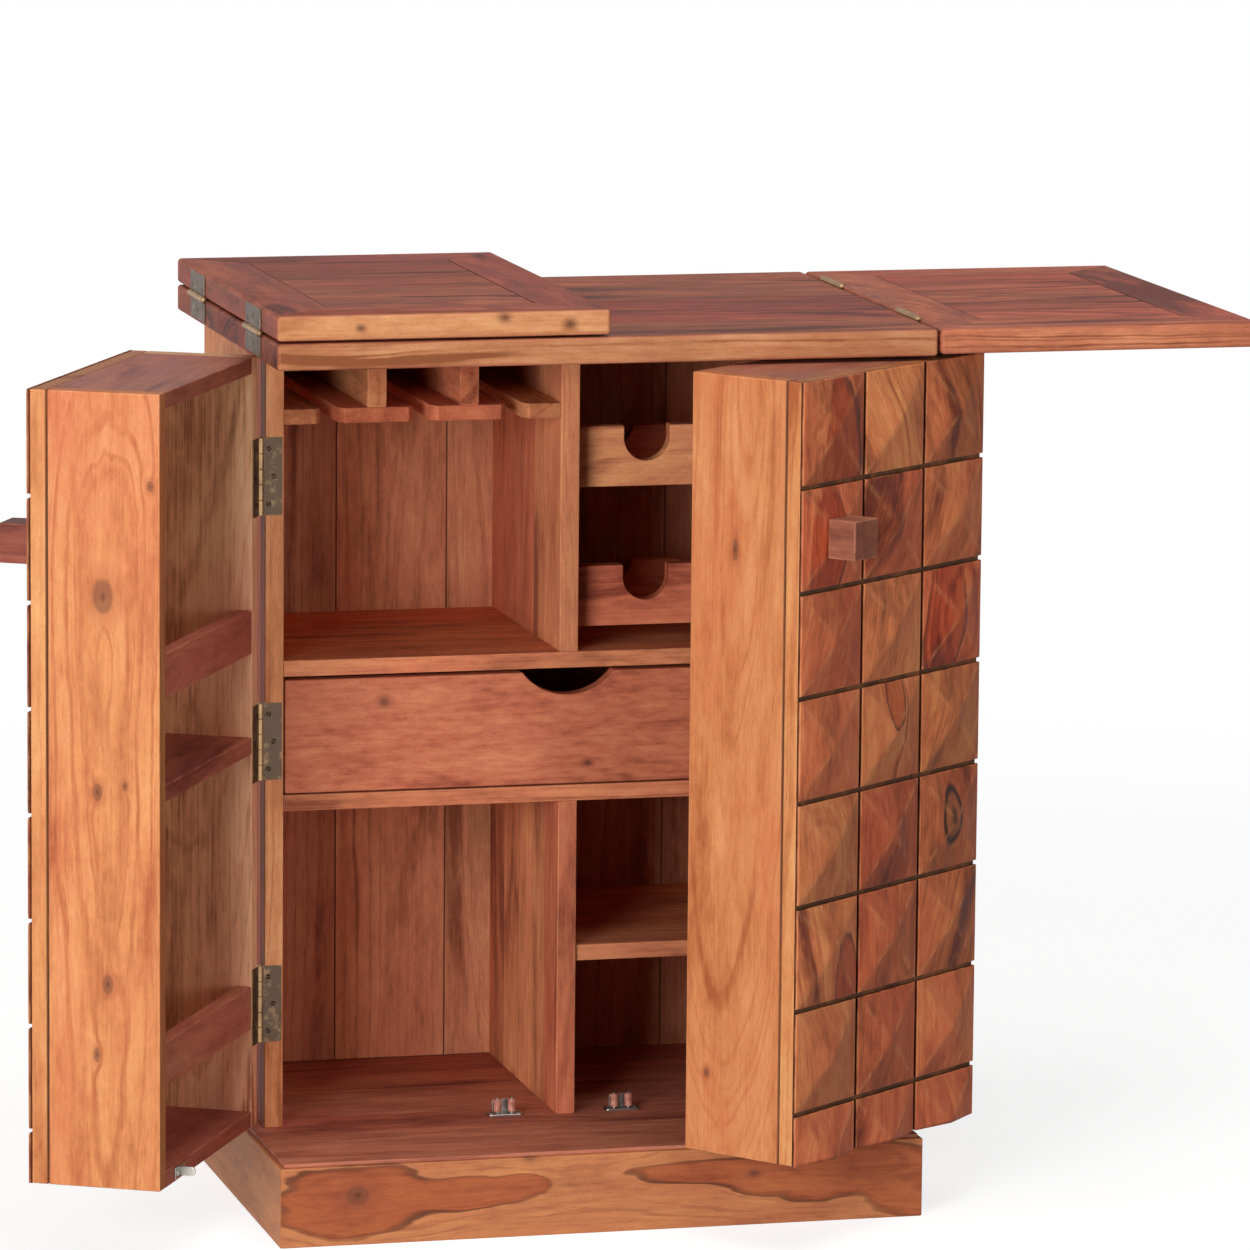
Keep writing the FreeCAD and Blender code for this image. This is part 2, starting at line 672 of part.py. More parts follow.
def strike(side):
    """A strike plate on the back edge of the door's bottom cap, with a tongue that enters the catch."""
    u = DOOR_WIDTH - STRIKE_INSET
    z = DOOR_BOTTOM_Z + DOOR_CAP / 2
    reach = DOOR_GAP + CATCH_SETBACK + TONGUE_OVERRUN
    plate = box(*door_spans(side, about(u, STRIKE_WIDTH), (-STRIKE_PLATE, 0), about(z, STRIKE_HEIGHT)))
    tongue = box(*door_spans(side, about(u, TONGUE_THICKNESS), (-reach, 0), about(z, TONGUE_HEIGHT)))
    return plate.fuse(tongue).removeSplitter()


def door(side, open_angle, shelf_share):
    wall = DOOR_WALL
    width = DOOR_WIDTH
    depth = (0, DOOR_BOX_DEPTH)
    inside = (wall, width - wall)
    full_height = (DOOR_BOTTOM_Z, DOOR_TOP_Z)
    shelf_z = DOOR_BOTTOM_Z + shelf_share * DOOR_HEIGHT
    rail_depth = (0, DOOR_RAIL_THICKNESS)
    rails = []
    for seat in (DOOR_FLOOR_Z, shelf_z + DOOR_SHELF):
        rail_z = (seat + DOOR_RAIL_LIFT, seat + DOOR_RAIL_LIFT + DOOR_RAIL_HEIGHT)
        rails.append(board(*door_spans(side, inside, rail_depth, rail_z)))
    caps = [
        board(*door_spans(side, inside, depth, (DOOR_BOTTOM_Z, DOOR_FLOOR_Z))),
        board(*door_spans(side, inside, depth, (DOOR_TOP_Z - DOOR_CAP, DOOR_TOP_Z))),
    ]
    blocks = carved_blocks(side)
    leaves, screws = door_hinge(side, moving=True)
    pieces = {
        "hinge_wall": [board(*door_spans(side, (0, wall), depth, full_height))],
        "free_wall": [board(*door_spans(side, (width - wall, width), depth, full_height))],
        "caps": caps,
        "shelf": [board(*door_spans(side, inside, depth, (shelf_z, shelf_z + DOOR_SHELF)))],
        "rails": rails,
        "front_panel": [board(*door_spans(side, (0, width), (DOOR_BOX_DEPTH, BLOCK_BASE), full_height))],
        "blocks": list(blocks.values()),
        "knob": [knob(side, blocks[KNOB_ROW, BLOCK_COLUMNS - 1])],
        "strike": [strike(side)],
        "hinges": leaves + screws,
    }
    axis = Vector(side * HINGE_X, HINGE_Y, 0)
    name = SIDE_NAMES[side] + "_door_"
    return {
        name + key: [shape.rotated(axis, Z_AXIS, side * open_angle) for shape in shapes]
        for key, shapes in pieces.items()
    }


# Roller catches


def catch(side):
    """A base plate with two upright pins, and a roller on each pin with room for the tongue between."""
    x = side * (OUTER_X - DOOR_WIDTH + STRIKE_INSET)
    y = FRONT_Y + CATCH_SETBACK
    plate_top = FLOOR_Z + CATCH_PLATE
    base = [box(about(x, CATCH_PLATE_LENGTH), about(y, CATCH_PLATE_WIDTH), (FLOOR_Z, plate_top))]
    rollers = []
    spacing = TONGUE_THICKNESS / 2 + ROLLER_CLEARANCE + ROLLER_RADIUS
    for place in (x - spacing, x + spacing):
        foot = Vector(place, y, plate_top)
        roller_foot = foot + Z_AXIS * ROLLER_LIFT
        height = ROLLER_LIFT + ROLLER_HEIGHT + KNUCKLE_CLEARANCE
        pin = Part.makeCylinder(ROLLER_PIN_RADIUS, height, foot)
        collar = Part.makeCylinder(PIN_HEAD_RADIUS, ROLLER_LIFT - KNUCKLE_CLEARANCE, foot)
        head = Part.makeCylinder(PIN_HEAD_RADIUS, PIN_HEAD, foot + Z_AXIS * height)
        base.append(pin.fuse([collar, head]).removeSplitter())
        roller = Part.makeCylinder(ROLLER_RADIUS, ROLLER_HEIGHT, roller_foot)
        bore = Part.makeCylinder(ROLLER_PIN_RADIUS + PIN_CLEARANCE, ROLLER_HEIGHT, roller_foot)
        rollers.append(roller.cut(bore))
    return base, rollers


def catches():
    pieces = {"catch_bases": []}
    for side in (LEFT, RIGHT):
        base, rollers = catch(side)
        pieces["catch_bases"] += base
        for roller, place in zip(rollers, ("left", "right")):
            pieces[f"{SIDE_NAMES[side]}_catch_{place}_roller"] = roller
    return pieces


def save(name, shapes):
    """Write one node: a single solid, or a group of separate ones."""
    solids = shapes if isinstance(shapes, list) else [shapes]
    shape = solids[0] if len(solids) == 1 else Part.makeCompound(solids)
    shape.exportStep(os.path.join("parts", name + ".step"))


def main():
    os.makedirs("parts", exist_ok=True)
    groups = [
        plinth(),
        carcass(),
        stemware_rack(),
        bottle_cradles(),
        drawer(),
        fixed_hinges(),
        catches(),
        folding_leaf(LEFT, folded=True),
        folding_leaf(RIGHT, folded=False),
        door(LEFT, LEFT_DOOR_ANGLE, LEFT_SHELF_SHARE),
        door(RIGHT, RIGHT_DOOR_ANGLE, RIGHT_SHELF_SHARE),
    ]
    for group in groups:
        for name, shapes in group.items():
            save(name, shapes)


main()
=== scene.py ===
import json
import math
import random

import bmesh
import bpy
from mathutils import Matrix, Vector, noise

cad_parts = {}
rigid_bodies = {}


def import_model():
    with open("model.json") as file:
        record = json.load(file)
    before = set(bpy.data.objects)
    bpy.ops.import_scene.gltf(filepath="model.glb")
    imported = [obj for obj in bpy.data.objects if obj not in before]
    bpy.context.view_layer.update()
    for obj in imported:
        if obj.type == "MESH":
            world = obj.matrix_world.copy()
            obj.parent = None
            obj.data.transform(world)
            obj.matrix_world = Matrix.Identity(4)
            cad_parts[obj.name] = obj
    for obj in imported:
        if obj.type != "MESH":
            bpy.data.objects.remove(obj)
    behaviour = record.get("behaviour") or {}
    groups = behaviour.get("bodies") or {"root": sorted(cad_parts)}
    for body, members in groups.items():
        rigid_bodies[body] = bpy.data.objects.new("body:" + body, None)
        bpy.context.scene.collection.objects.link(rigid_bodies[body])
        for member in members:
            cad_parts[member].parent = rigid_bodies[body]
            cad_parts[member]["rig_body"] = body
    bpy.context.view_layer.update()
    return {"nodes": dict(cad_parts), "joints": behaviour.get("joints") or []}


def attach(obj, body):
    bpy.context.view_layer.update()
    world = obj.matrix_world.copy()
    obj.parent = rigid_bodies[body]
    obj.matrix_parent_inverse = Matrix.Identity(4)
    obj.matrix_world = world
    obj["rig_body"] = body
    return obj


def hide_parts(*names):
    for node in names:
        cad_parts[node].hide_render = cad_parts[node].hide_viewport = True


# Looks of a bar cabinet of solid sheesham with box doors, carved fronts and antique brass hinges.
# Wooden pieces are built board by board, drawn with the doors shut and the leaves unfolded,
# and then turned to where the frame has them. Every board carries its own grain.

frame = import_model()

X, Y, Z = range(3)
MM = 0.001

# Sizes that are shared with the solids, in metres
LEAF_BOARDS = 5
LEAF_FRAME_WIDTH = 60 * MM
LEAF_ROUNDING = 4 * MM
COUNTER_ROUNDING = 3.5 * MM
DOOR_ROUNDING = 1.5 * MM
FLOOR_LIP = 4 * MM
FLOOR_INSET = 15 * MM
GLASS_SLOTS = 3
GLASS_SLOT = 16.5 * MM
SLOT_MOUTH = 12 * MM
HANGER_THICKNESS = 19 * MM
DRAWER_WALL = 12 * MM
PULL_HALF_WIDTH = 46 * MM
PULL_DEPTH = 23 * MM
NOTCH_INSET = 75 * MM
CAP_THICKNESS = 16 * MM
RAIL_HEIGHT = 42.5 * MM
BLOCK_ROWS = 7.5
BLOCK_COLUMNS = 3

# Carving, and edges rounded by hand
BLOCK_RIM = 3.5 * MM
BLOCK_PEAK = 9.6 * MM
BLOCK_GROOVE = 4.5 * MM
RIDGE_POWER = 24
RIDGE_WIDTH = 0.09
RIM_STEPS = (0.0, 0.35 * MM, 1.0 * MM, 1.8 * MM)
EASED = 1.1 * MM

# How dark a face is made by grime and painted shade in joints and grooves, or below 0 how worn
WORN = -0.35
GRIMY_AND_SHADED = 0.75
DOOR_SHADOW_WIDTH = 20 * MM


# Frames and boxes


def swing(joint_name, end):
    """The turn that takes a body from rest to one end of its joint's range."""
    joint = next(j for j in frame["joints"] if j["name"] == joint_name)
    place = Vector(joint["pos_m"])
    turn = Matrix.Rotation(math.radians(joint["range_deg"][end]), 4, Vector(joint["axis"]))
    return Matrix.Translation(place) @ turn @ Matrix.Translation(-place)


TO_DRAWN = {
    "left_door": swing("left_door_swing", 0),
    "right_door": swing("right_door_swing", 0),
    "left_leaf": swing("left_leaf_fold", 1),
}


def body_of(node):
    return frame["nodes"][node]["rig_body"]


def extent(points):
    low = Vector(min(p[k] for p in points) for k in range(3))
    high = Vector(max(p[k] for p in points) for k in range(3))
    return low, high


def span(node):
    """Lowest and highest corner of a CAD node as it is drawn."""
    to_drawn = TO_DRAWN.get(body_of(node), Matrix())
    return extent([to_drawn @ v.co for v in frame["nodes"][node].data.vertices])


def split(node, axis, size):
    """The two end boxes of a node that is a pair, each of one size along an axis."""
    low, high = span(node)
    first, second = high.copy(), low.copy()
    first[axis] = low[axis] + size
    second[axis] = high[axis] - size
    return (low, first), (second, high)


def divide(node, axis, count):
    """The equal boxes that a node divides into along an axis."""
    low, high = span(node)
    step = (high[axis] - low[axis]) / count
    boxes = []
    for i in range(count):
        first, last = low.copy(), high.copy()
        first[axis] = low[axis] + i * step
        last[axis] = first[axis] + step
        boxes.append((first, last))
    return boxes


def add_object(name, data):
    made = bpy.data.objects.new(name, data)
    bpy.context.scene.collection.objects.link(made)
    return made


# Solid shapes


def prism(points, axis, low, high):
    """A closed prism over an outline in the plane across an axis."""
    bm = bmesh.new()
    bm.faces.layers.float.new("rim")
    a, b = [k for k in range(3) if k != axis]
    rings = []
    for level in (low, high):
        ring = []
        for p in points:
            place = Vector()
            place[a], place[b], place[axis] = p[0], p[1], level
            ring.append(bm.verts.new(place))
        rings.append(ring)
        bm.faces.new(ring)
    for i in range(len(points)):
        j = (i + 1) % len(points)
        bm.faces.new((rings[0][i], rings[0][j], rings[1][j], rings[1][i]))
    bmesh.ops.recalc_face_normals(bm, faces=bm.faces)
    return bm


def corners(low, high):
    """Corners of a box seen from above."""
    return [(low.x, low.y), (high.x, low.y), (high.x, high.y), (low.x, high.y)]


def box(low, high):
    return prism(corners(low, high), Z, low.z, high.z)


def ease(bm, width, segments=2, sharper_than=50, rim=0.0):
    """Rounds every edge that is sharper than an angle in degrees."""
    limit = math.radians(sharper_than)
    edges = [e for e in bm.edges if e.is_manifold and e.calc_face_angle() > limit]
    made = bmesh.ops.bevel(
        bm,
        geom=edges,
        offset=width,
        offset_type="OFFSET",
        segments=segments,
        profile=0.5,
        affect="EDGES",
        clamp_overlap=True,
    )
    layer = bm.faces.layers.float["rim"]
    for face in made["faces"]:
        face[layer] = rim
    return bm


def darken_joint(bm, axis, at, within=4 * MM):
    """Darkens the rounded edges near a plane, where another board meets them: grime and painted shade in
    the joint.
    """
    layer = bm.faces.layers.float["rim"]
    for face in bm.faces:
        if face[layer] and abs(face.calc_center_median()[axis] - at) < within:
            face[layer] = GRIMY_AND_SHADED
    return bm


def darken_facing(bm, axis, sign, amount):
    """Darkens the faces that look one way, with the same dark as the joints."""
    bm.normal_update()
    layer = bm.faces.layers.float["rim"]
    for face in bm.faces:
        if sign * face.normal[axis] > 0.9:
            face[layer] = amount
    return bm


def eased_box(low, high, width=EASED, segments=2, rim=WORN):
    return ease(box(low, high), width, segments, rim=rim)


def cut(bm, place, normal):
    """Removes what lies beyond a plane and closes the cut."""
    geometry = [*bm.verts, *bm.edges, *bm.faces]
    made = bmesh.ops.bisect_plane(bm, geom=geometry, plane_co=place, plane_no=normal, clear_outer=True)
    edges = [e for e in made["geom_cut"] if isinstance(e, bmesh.types.BMEdge)]
    bmesh.ops.edgeloop_fill(bm, edges=edges)
    bmesh.ops.recalc_face_normals(bm, faces=bm.faces)
    return bm


def staves(bm, axis, count, rng, joint=0.2 * MM):
    """A board cut into glued staves of uneven width."""
    low, high = extent([v.co for v in bm.verts])
    step = (high[axis] - low[axis]) / count
    direction = Vector(1.0 if k == axis else 0.0 for k in range(3))
    cuts = [low[axis] + (i + rng.uniform(-0.18, 0.18)) * step for i in range(1, count)]
    parts = []
    for i in range(count):
        part = bm.copy()
        if i > 0:
            cut(part, direction * cuts[i - 1], -direction)
        if i < count - 1:
            cut(part, direction * cuts[i], direction)
        parts.append(ease(part, joint, 1, 70, GRIMY_AND_SHADED))
    bm.free()
    return parts


# Pieces

# A spot far off every board
NOWHERE = (9.0, 9.0, 0.01)


class Piece:
    """One object gathered from boards, which stands for one or more CAD nodes."""

    def __init__(self, name, *nodes):
        self.name = name
        self.nodes = nodes
        self.body = body_of(nodes[0])
        self.mesh = bmesh.new()
        self.rng = random.Random(name)

    def take(self, bm):
        """Moves a finished solid into the piece."""
        carrier = bpy.data.meshes.new("carrier")
        bm.to_mesh(carrier)
        bm.free()
        self.mesh.from_mesh(carrier)
        bpy.data.meshes.remove(carrier)

    def board(
        self, bm, along, value=None, hue=None, pith=None, turn=0.0, heart=NOWHERE, eye=NOWHERE, sap=None
    ):
        """Takes a solid as a board, with grain that runs along an axis, across it and through it."""
        bm.normal_update()
        low, high = extent([v.co for v in bm.verts])
        size = high - low
        middle = (low + high) / 2
        across, through = sorted((k for k in range(3) if k != along), key=lambda k: -size[k])
        rng = self.rng
        if pith is None:
            aside = rng.uniform(-0.9, 0.9) * size[across]
            pith = (aside, -rng.uniform(0.02, 0.10), rng.uniform(-0.09, 0.09))
        seed = [rng.uniform(0.0, 40.0) for _ in range(3)]
        tone = (value or rng.uniform(0.88, 1.1), rng.random() if hue is None else hue, rng.random())
        vectors = bm.verts.layers.float_vector
        grain = vectors.new("grain")
        constants = {"seed": seed, "pith": pith, "tone": tone, "heart": heart, "eye": eye}
        layers = [(vectors.new(name), setting) for name, setting in constants.items()]
        c, s = math.cos(turn), math.sin(turn)
        for v in bm.verts:
            p = v.co - middle
            v[grain] = (c * p[along] + s * p[across], c * p[across] - s * p[along], p[through])
            for layer, setting in layers:
                v[layer] = setting
        end = bm.faces.layers.float.new("end")
        pale = bm.faces.layers.float.new("sap")
        for face in bm.faces:
            face[end] = 1.0 if abs(face.normal[along]) > 0.8 else 0.0
            if sap:
                axis, sign, amount = sap
                face[pale] = amount * max(0.0, min(1.0, sign * face.normal[axis] * 1.6 - 0.4))
        self.take(bm)

    def fit(self, bm, wear=0.0, dull_and_shade=0.0, at=Matrix()):
        """Takes a metal solid. Wear goes from 0 for full patina to 1 for bare metal. Dullness darkens it:
        patina, and on the hinge screws painted shade.
        """
        for name, setting in (("wear", wear), ("dull_and_shade", dull_and_shade)):
            layer = bm.verts.layers.float.new(name)
            for v in bm.verts:
                v[layer] = setting
        bmesh.ops.transform(bm, matrix=at, verts=bm.verts)
        self.take(bm)

    def finish(self, material):
        data = bpy.data.meshes.new(self.name)
        self.mesh.to_mesh(data)
        self.mesh.free()
        data.transform(TO_DRAWN.get(self.body, Matrix()).inverted())
        data.shade_smooth()
        data.materials.append(material)
        piece = add_object(self.name, data)
        weighted = piece.modifiers.new("flat_faces", "WEIGHTED_NORMAL")
        weighted.weight = 60
        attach(piece, self.body)
        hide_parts(*self.nodes)


# Materials


def screen(red, green, blue):
    """A linear colour from screen values of 0 to 255."""
    channels = []
    for value in (red, green, blue):
        c = value / 255
        channels.append(c / 12.92 if c <= 0.04045 else ((c + 0.055) / 1.055) ** 2.4)
    return (*channels, 1.0)


class Graph:
    """Short calls that build a node tree."""

    def __init__(self, tree):
        self.nodes = tree.nodes
        self.links = tree.links

    def feed(self, socket, value):
        if isinstance(value, bpy.types.NodeSocket):
            self.links.new(value, socket)
        else:
            socket.default_value = value

    def add(self, kind, inputs=None, **settings):
        node = self.nodes.new("ShaderNode" + kind)
        for key, value in settings.items():
            setattr(node, key, value)
        for key, value in (inputs or {}).items():
            self.feed(node.inputs[key], value)
        return node

    def attribute(self, name):
        return self.add("Attribute", attribute_name=name).outputs["Vector"]

    def factor(self, name):
        return self.add("Attribute", attribute_name=name).outputs["Fac"]

    def parts(self, vector):
        return self.add("SeparateXYZ", {0: vector}).outputs

    def math(self, operation, a, b=0.0, c=0.0):
        node = self.add("Math", {0: a, 1: b, 2: c}, operation=operation)
        return node.outputs[0]

    def times(self, a, b):
        return self.math("MULTIPLY", a, b)

    def total(self, start, *terms):
        """A sum of values, each with its weight."""
        for value, weight in terms:
            start = self.math("MULTIPLY_ADD", value, weight, start)
        return start

    def vector(self, operation, a, b):
        return self.add("VectorMath", {0: a, 1: b}, operation=operation).outputs[0]

    def noise(self, where, scales, detail=2.0, roughness=0.5):
        stretched = self.vector("MULTIPLY", where, scales)
        inputs = {"Vector": stretched, "Scale": 1.0, "Detail": detail, "Roughness": roughness}
        return self.add("TexNoise", inputs).outputs["Fac"]

    def step(self, value, start, end, low=0.0, high=1.0):
        inputs = {"Value": value, "From Min": start, "From Max": end, "To Min": low, "To Max": high}
        return self.add("MapRange", inputs, interpolation_type="SMOOTHSTEP").outputs["Result"]

    def mix(self, share, a, b, blend="MIX"):
        node = self.add("Mix", {0: share, 6: a, 7: b}, data_type="RGBA", blend_type=blend)
        return node.outputs[2]

    def tint(self, colour, tint):
        return self.mix(1.0, colour, tint, "MULTIPLY")

    def ramp(self, value, stops):
        node = self.add("ValToRGB", {0: value})
        elements = node.color_ramp.elements
        while len(elements) < len(stops):
            elements.new(0.5)
        for element, (place, colour) in zip(elements, stops):
            element.position = place
            element.color = colour
        return node.outputs[0]


def new_graph(owner):
    """An empty node tree for a material or the world."""
    owner.use_nodes = True
    owner.node_tree.nodes.clear()
    return Graph(owner.node_tree)


def new_material(name):
    material = bpy.data.materials.new(name)
    graph = new_graph(material)
    shader = graph.add("BsdfPrincipled")
    graph.add("OutputMaterial", {"Surface": shader.outputs[0]})
    return material, graph, shader


def coat(g, shader, colour, roughness, height, strength, distance):
    """Gives a shader its colour, roughness and fine relief."""
    bump = g.add("Bump", {"Height": height, "Strength": strength, "Distance": distance})
    inputs = {"Base Color": colour, "Roughness": roughness, "Normal": bump.outputs[0]}
    for key, value in inputs.items():
        g.feed(shader.inputs[key], value)


def field(g, x, y, spot, tail=1.0):
    """Distance from a spot on the board's face, 1 on its rim: (along, across, half length, half width).

    A tail above 1 stretches the lower half, so that an oval becomes an arch.
    """
    along, across, length, width = spot
    dx = g.math("DIVIDE", g.math("SUBTRACT", x, along), length)
    if tail > 1.0:
        dx = g.math("MAXIMUM", dx, g.math("DIVIDE", dx, -tail))
    dy = g.math("DIVIDE", g.math("SUBTRACT", y, across), width)
    return g.math("SQRT", g.math("ADD", g.times(dx, dx), g.times(dy, dy)))


def attribute_field(g, x, y, name, stretch):
    """Distance from the spot that a board's own attribute gives: (along, across, half width)."""
    along, across, width = g.parts(g.attribute(name))
    return field(g, x, y, (along, across, g.times(width, stretch), width))


def palette(pale, mid, dark):
    return {"pale": screen(*pale), "mid": screen(*mid), "dark": screen(*dark)}


# Tints that multiply the wood's colour, and dark colours that cover it
REDDER = (0.91, 0.72, 0.73, 1.0)
GOLDEN = (1.02, 1.14, 1.0, 1.0)
HEARTWOOD = (0.72, 0.48, 0.45, 1.0)
END_GRAIN = (0.74, 0.66, 0.62, 1.0)
HEART_RIM = (0.060, 0.020, 0.013, 1.0)
KNOT = (0.15, 0.056, 0.032, 1.0)
KNOT_CORE = (0.040, 0.014, 0.009, 1.0)
EYE = (0.20, 0.075, 0.035, 1.0)
EYE_RIM = (0.018, 0.008, 0.006, 1.0)
EYE_CORE = (0.022, 0.012, 0.009, 1.0)
PORE = (0.02, 0.01, 0.006, 1.0)
# Near black: grime, and painted shade in the joints and grooves
GRIME_AND_SHADE = (0.022, 0.009, 0.006, 1.0)
DULL_AND_SHADE_TINT = (0.35, 0.32, 0.30, 1.0)
SAPWOOD = palette((240, 184, 132), (218, 150, 102), (172, 104, 64))


def shades(g, level, pale, mid, dark):
    return g.ramp(level, [(0.08, dark), (0.50, mid), (0.92, pale)])


def wood(
    name,
    pale,
    mid,
    dark,
    knots=(),
    edge_knots=(),
    hearts=(),
    ovals=(),
    figure=0.30,
    streaks=0.40,
    mottle=0.45,
    fibres=0.45,
    gloss=0.55,
    shine=0.14,
):
    """Lacquered sheesham: mottled colour, fibres, growth lines about a pith, streaks, knots, heartwood."""
    material, g, shader = new_material(name)
    grain = g.attribute("grain")
    place = g.vector("ADD", grain, g.attribute("seed"))
    pith = g.parts(g.attribute("pith"))
    value, hue, shift = g.parts(g.attribute("tone"))
    x, y, z = g.parts(grain)
    wave = g.noise(place, (2.2, 9.0, 9.0), 2.0)
    ripple = g.noise(place, (14.0, 60.0, 60.0), 2.0)
    cloud = g.noise(place, (8.0, 30.0, 30.0), 4.0, 0.62)
    fleck = g.noise(place, (48.0, 150.0, 150.0), 3.0, 0.6)
    blotch = g.noise(place, (3.0, 11.0, 11.0), 2.0)
    fibre = g.noise(place, (10.0, 420.0, 420.0), 3.0, 0.65)
    pore = g.step(g.noise(place, (190.0, 1700.0, 1700.0), 1.0), 0.58, 0.74)

    # Distance from the pith, bent by slow waves, knots and heartwood
    dy = g.math("SUBTRACT", y, pith[0])
    dz = g.math("SUBTRACT", g.math("SUBTRACT", z, pith[1]), g.times(x, pith[2]))
    radius = g.math("SQRT", g.math("ADD", g.times(dy, dy), g.times(dz, dz)))
    radius = g.total(radius, (wave, 0.040), (ripple, 0.006))
    for spot in ovals:
        radius = g.math("MULTIPLY_ADD", field(g, x, y, spot[:4], spot[4]), 0.03, radius)
    rough_edge = g.total(-0.55, (ripple, 0.7), (wave, 0.4))
    knot_fields = [(g.math("ADD", field(g, x, y, spot), rough_edge), spot[3]) for spot in knots]
    knot_fields += [(g.math("ADD", field(g, x, z, spot), rough_edge), spot[3]) for spot in edge_knots]
    eye = g.total(attribute_field(g, x, y, "eye", 2.0), (ripple, 0.35), (wave, 0.2), (1.0, -0.27))
    for distance, width in [*knot_fields, (eye, 0.02)]:
        bulge = g.math("EXPONENT", g.times(g.times(distance, distance), -0.3))
        radius = g.math("MULTIPLY_ADD", bulge, 1.4 * width, radius)
    heart_fields = [g.math("ADD", attribute_field(g, x, y, "heart", 2.4), rough_edge)]
    for group in hearts:
        nearest = field(g, x, y, group[0])
        for spot in group[1:]:
            nearest = g.math("SMOOTH_MIN", nearest, field(g, x, y, spot), 0.35)
        heart_fields.append(g.math("ADD", nearest, rough_edge))
    for distance in heart_fields:
        near = g.math("MINIMUM", distance, 2.0)
        radius = g.math("MULTIPLY_ADD", near, 0.02, radius)

    # Thin growth lines that come and go, and wider dark streaks that follow them
    shifted = g.math("MULTIPLY_ADD", shift, 9.0, radius)
    rings = {"W": shifted, "Scale": 150.0, "Detail": 3.0, "Roughness": 0.6}
    ring = g.add("TexNoise", rings, noise_dimensions="1D").outputs["Fac"]
    line = g.times(g.step(ring, 0.46, 0.70), g.step(cloud, 0.40, 0.62, 0.10, 1.0))
    flow = {0: g.times(radius, 42.0), 1: g.times(x, 2.2), 2: shift}
    flow = g.vector("ADD", g.add("CombineXYZ", flow).outputs[0], g.attribute("seed"))
    streak = g.step(g.noise(flow, (1.0, 1.0, 7.0), 2.0), 0.55, 0.74)
    start = -0.405 - mottle / 2 - fibres / 2
    level = g.total(start, (cloud, 1.35), (fibre, fibres), (blotch, 0.55), (fleck, mottle))
    level = g.total(level, (line, -figure), (streak, -streaks))
    colour = shades(g, level, pale, mid, dark)
    redder = g.tint(colour, REDDER)
    golden = g.tint(colour, GOLDEN)
    colour = g.mix(g.step(g.total(0.0, (blotch, 0.8), (hue, 0.5)), 0.38, 0.95), golden, redder)
    colour = g.mix(g.factor("sap"), colour, shades(g, level, **SAPWOOD))

    # Heartwood patches with dark outlines, then knots
    for distance in heart_fields:
        stained = g.tint(colour, HEARTWOOD)
        colour = g.mix(g.step(distance, 1.02, 0.90, 0.0, 0.85), colour, stained)
        rim = g.times(g.step(distance, 0.80, 0.98), g.step(distance, 1.05, 0.99))
        rim = g.times(rim, g.step(blotch, 0.40, 0.60, 0.10, 0.80))
        colour = g.mix(rim, colour, HEART_RIM)
    for distance, _ in knot_fields:
        colour = g.mix(g.step(distance, 2.2, 0.9, 0.0, 0.40), colour, dark)
        colour = g.mix(g.step(distance, 1.02, 0.70, 0.0, 0.55), colour, KNOT)
        colour = g.mix(g.step(distance, 0.45, 0.05, 0.0, 0.5), colour, KNOT_CORE)
    outline = g.times(g.step(eye, 0.70, 0.95), g.step(eye, 1.25, 1.0))
    colour = g.mix(g.step(eye, 1.1, 0.9, 0.0, 0.6), colour, EYE)
    colour = g.mix(g.times(outline, 0.95), colour, EYE_RIM)
    colour = g.mix(g.step(eye, 0.42, 0.20, 0.0, 0.85), colour, EYE_CORE)
    colour = g.mix(g.times(pore, 0.26), colour, g.mix(0.6, dark, PORE))
    # The carved blocks' facets get their painted light and shade here
    value = g.math("ADD", value, g.factor("facet_shading"))
    grey = g.add("CombineXYZ", {0: value, 1: value, 2: value}).outputs[0]
    colour = g.tint(colour, grey)
    colour = g.mix(g.factor("end"), colour, g.tint(colour, END_GRAIN))

    # Grime and painted shade in the joints and grooves, pale wear on ridges and edges
    rim = g.factor("rim")
    grime_and_shade = g.times(g.math("MAXIMUM", rim, 0.0), g.step(cloud, 0.25, 0.6, 0.55, 1.0))
    colour = g.mix(grime_and_shade, colour, GRIME_AND_SHADE)
    wear = g.math("MAXIMUM", g.factor("wear"), g.times(rim, -1.0))
    wear = g.times(wear, g.step(g.noise(place, (30.0, 90.0, 90.0), 3.0), 0.35, 0.65))
    colour = g.mix(wear, colour, pale)
    roughness = g.total(gloss - 0.12, (fibre, 0.14), (cloud, 0.12))
    height = g.total(0.0, (fibre, 0.5), (pore, -0.6), (line, -0.2))
    coat(g, shader, colour, roughness, height, 0.35, 0.4 * MM)
    shader.inputs["Specular IOR Level"].default_value = shine
    return material


def metal(name, dark, bright, rough, worn_share):
    """Old plated metal: dull patches, and bare bright metal where it is worn."""
    material, g, shader = new_material(name)
    place = g.add("TexCoord").outputs["Object"]
    patch = g.noise(place, (70.0, 70.0, 70.0), 4.0, 0.65)
    speck = g.noise(place, (900.0, 900.0, 900.0), 2.0)
    edges = g.times(g.factor("rim"), -2.0)
    worn = g.math("MAXIMUM", g.factor("wear"), edges)
    worn = g.times(worn, g.step(patch, 0.25, 0.65, 0.45, 1.0))
    share = g.math("MAXIMUM", worn, g.step(patch, 0.50, 0.72, 0.0, worn_share))
    # Dullness darkens the colour: patina, and on the hinge screws painted shade
    dull_and_shade = g.factor("dull_and_shade")
    colour = g.mix(share, dark, bright)
    colour = g.mix(dull_and_shade, colour, g.tint(colour, DULL_AND_SHADE_TINT))
    roughness = g.total(rough - 0.12, (speck, 0.25), (dull_and_shade, 0.1))
    coat(g, shader, colour, roughness, g.math("ADD", patch, speck), 0.2, 0.3 * MM)
    shader.inputs["Metallic"].default_value = 1.0
    return material


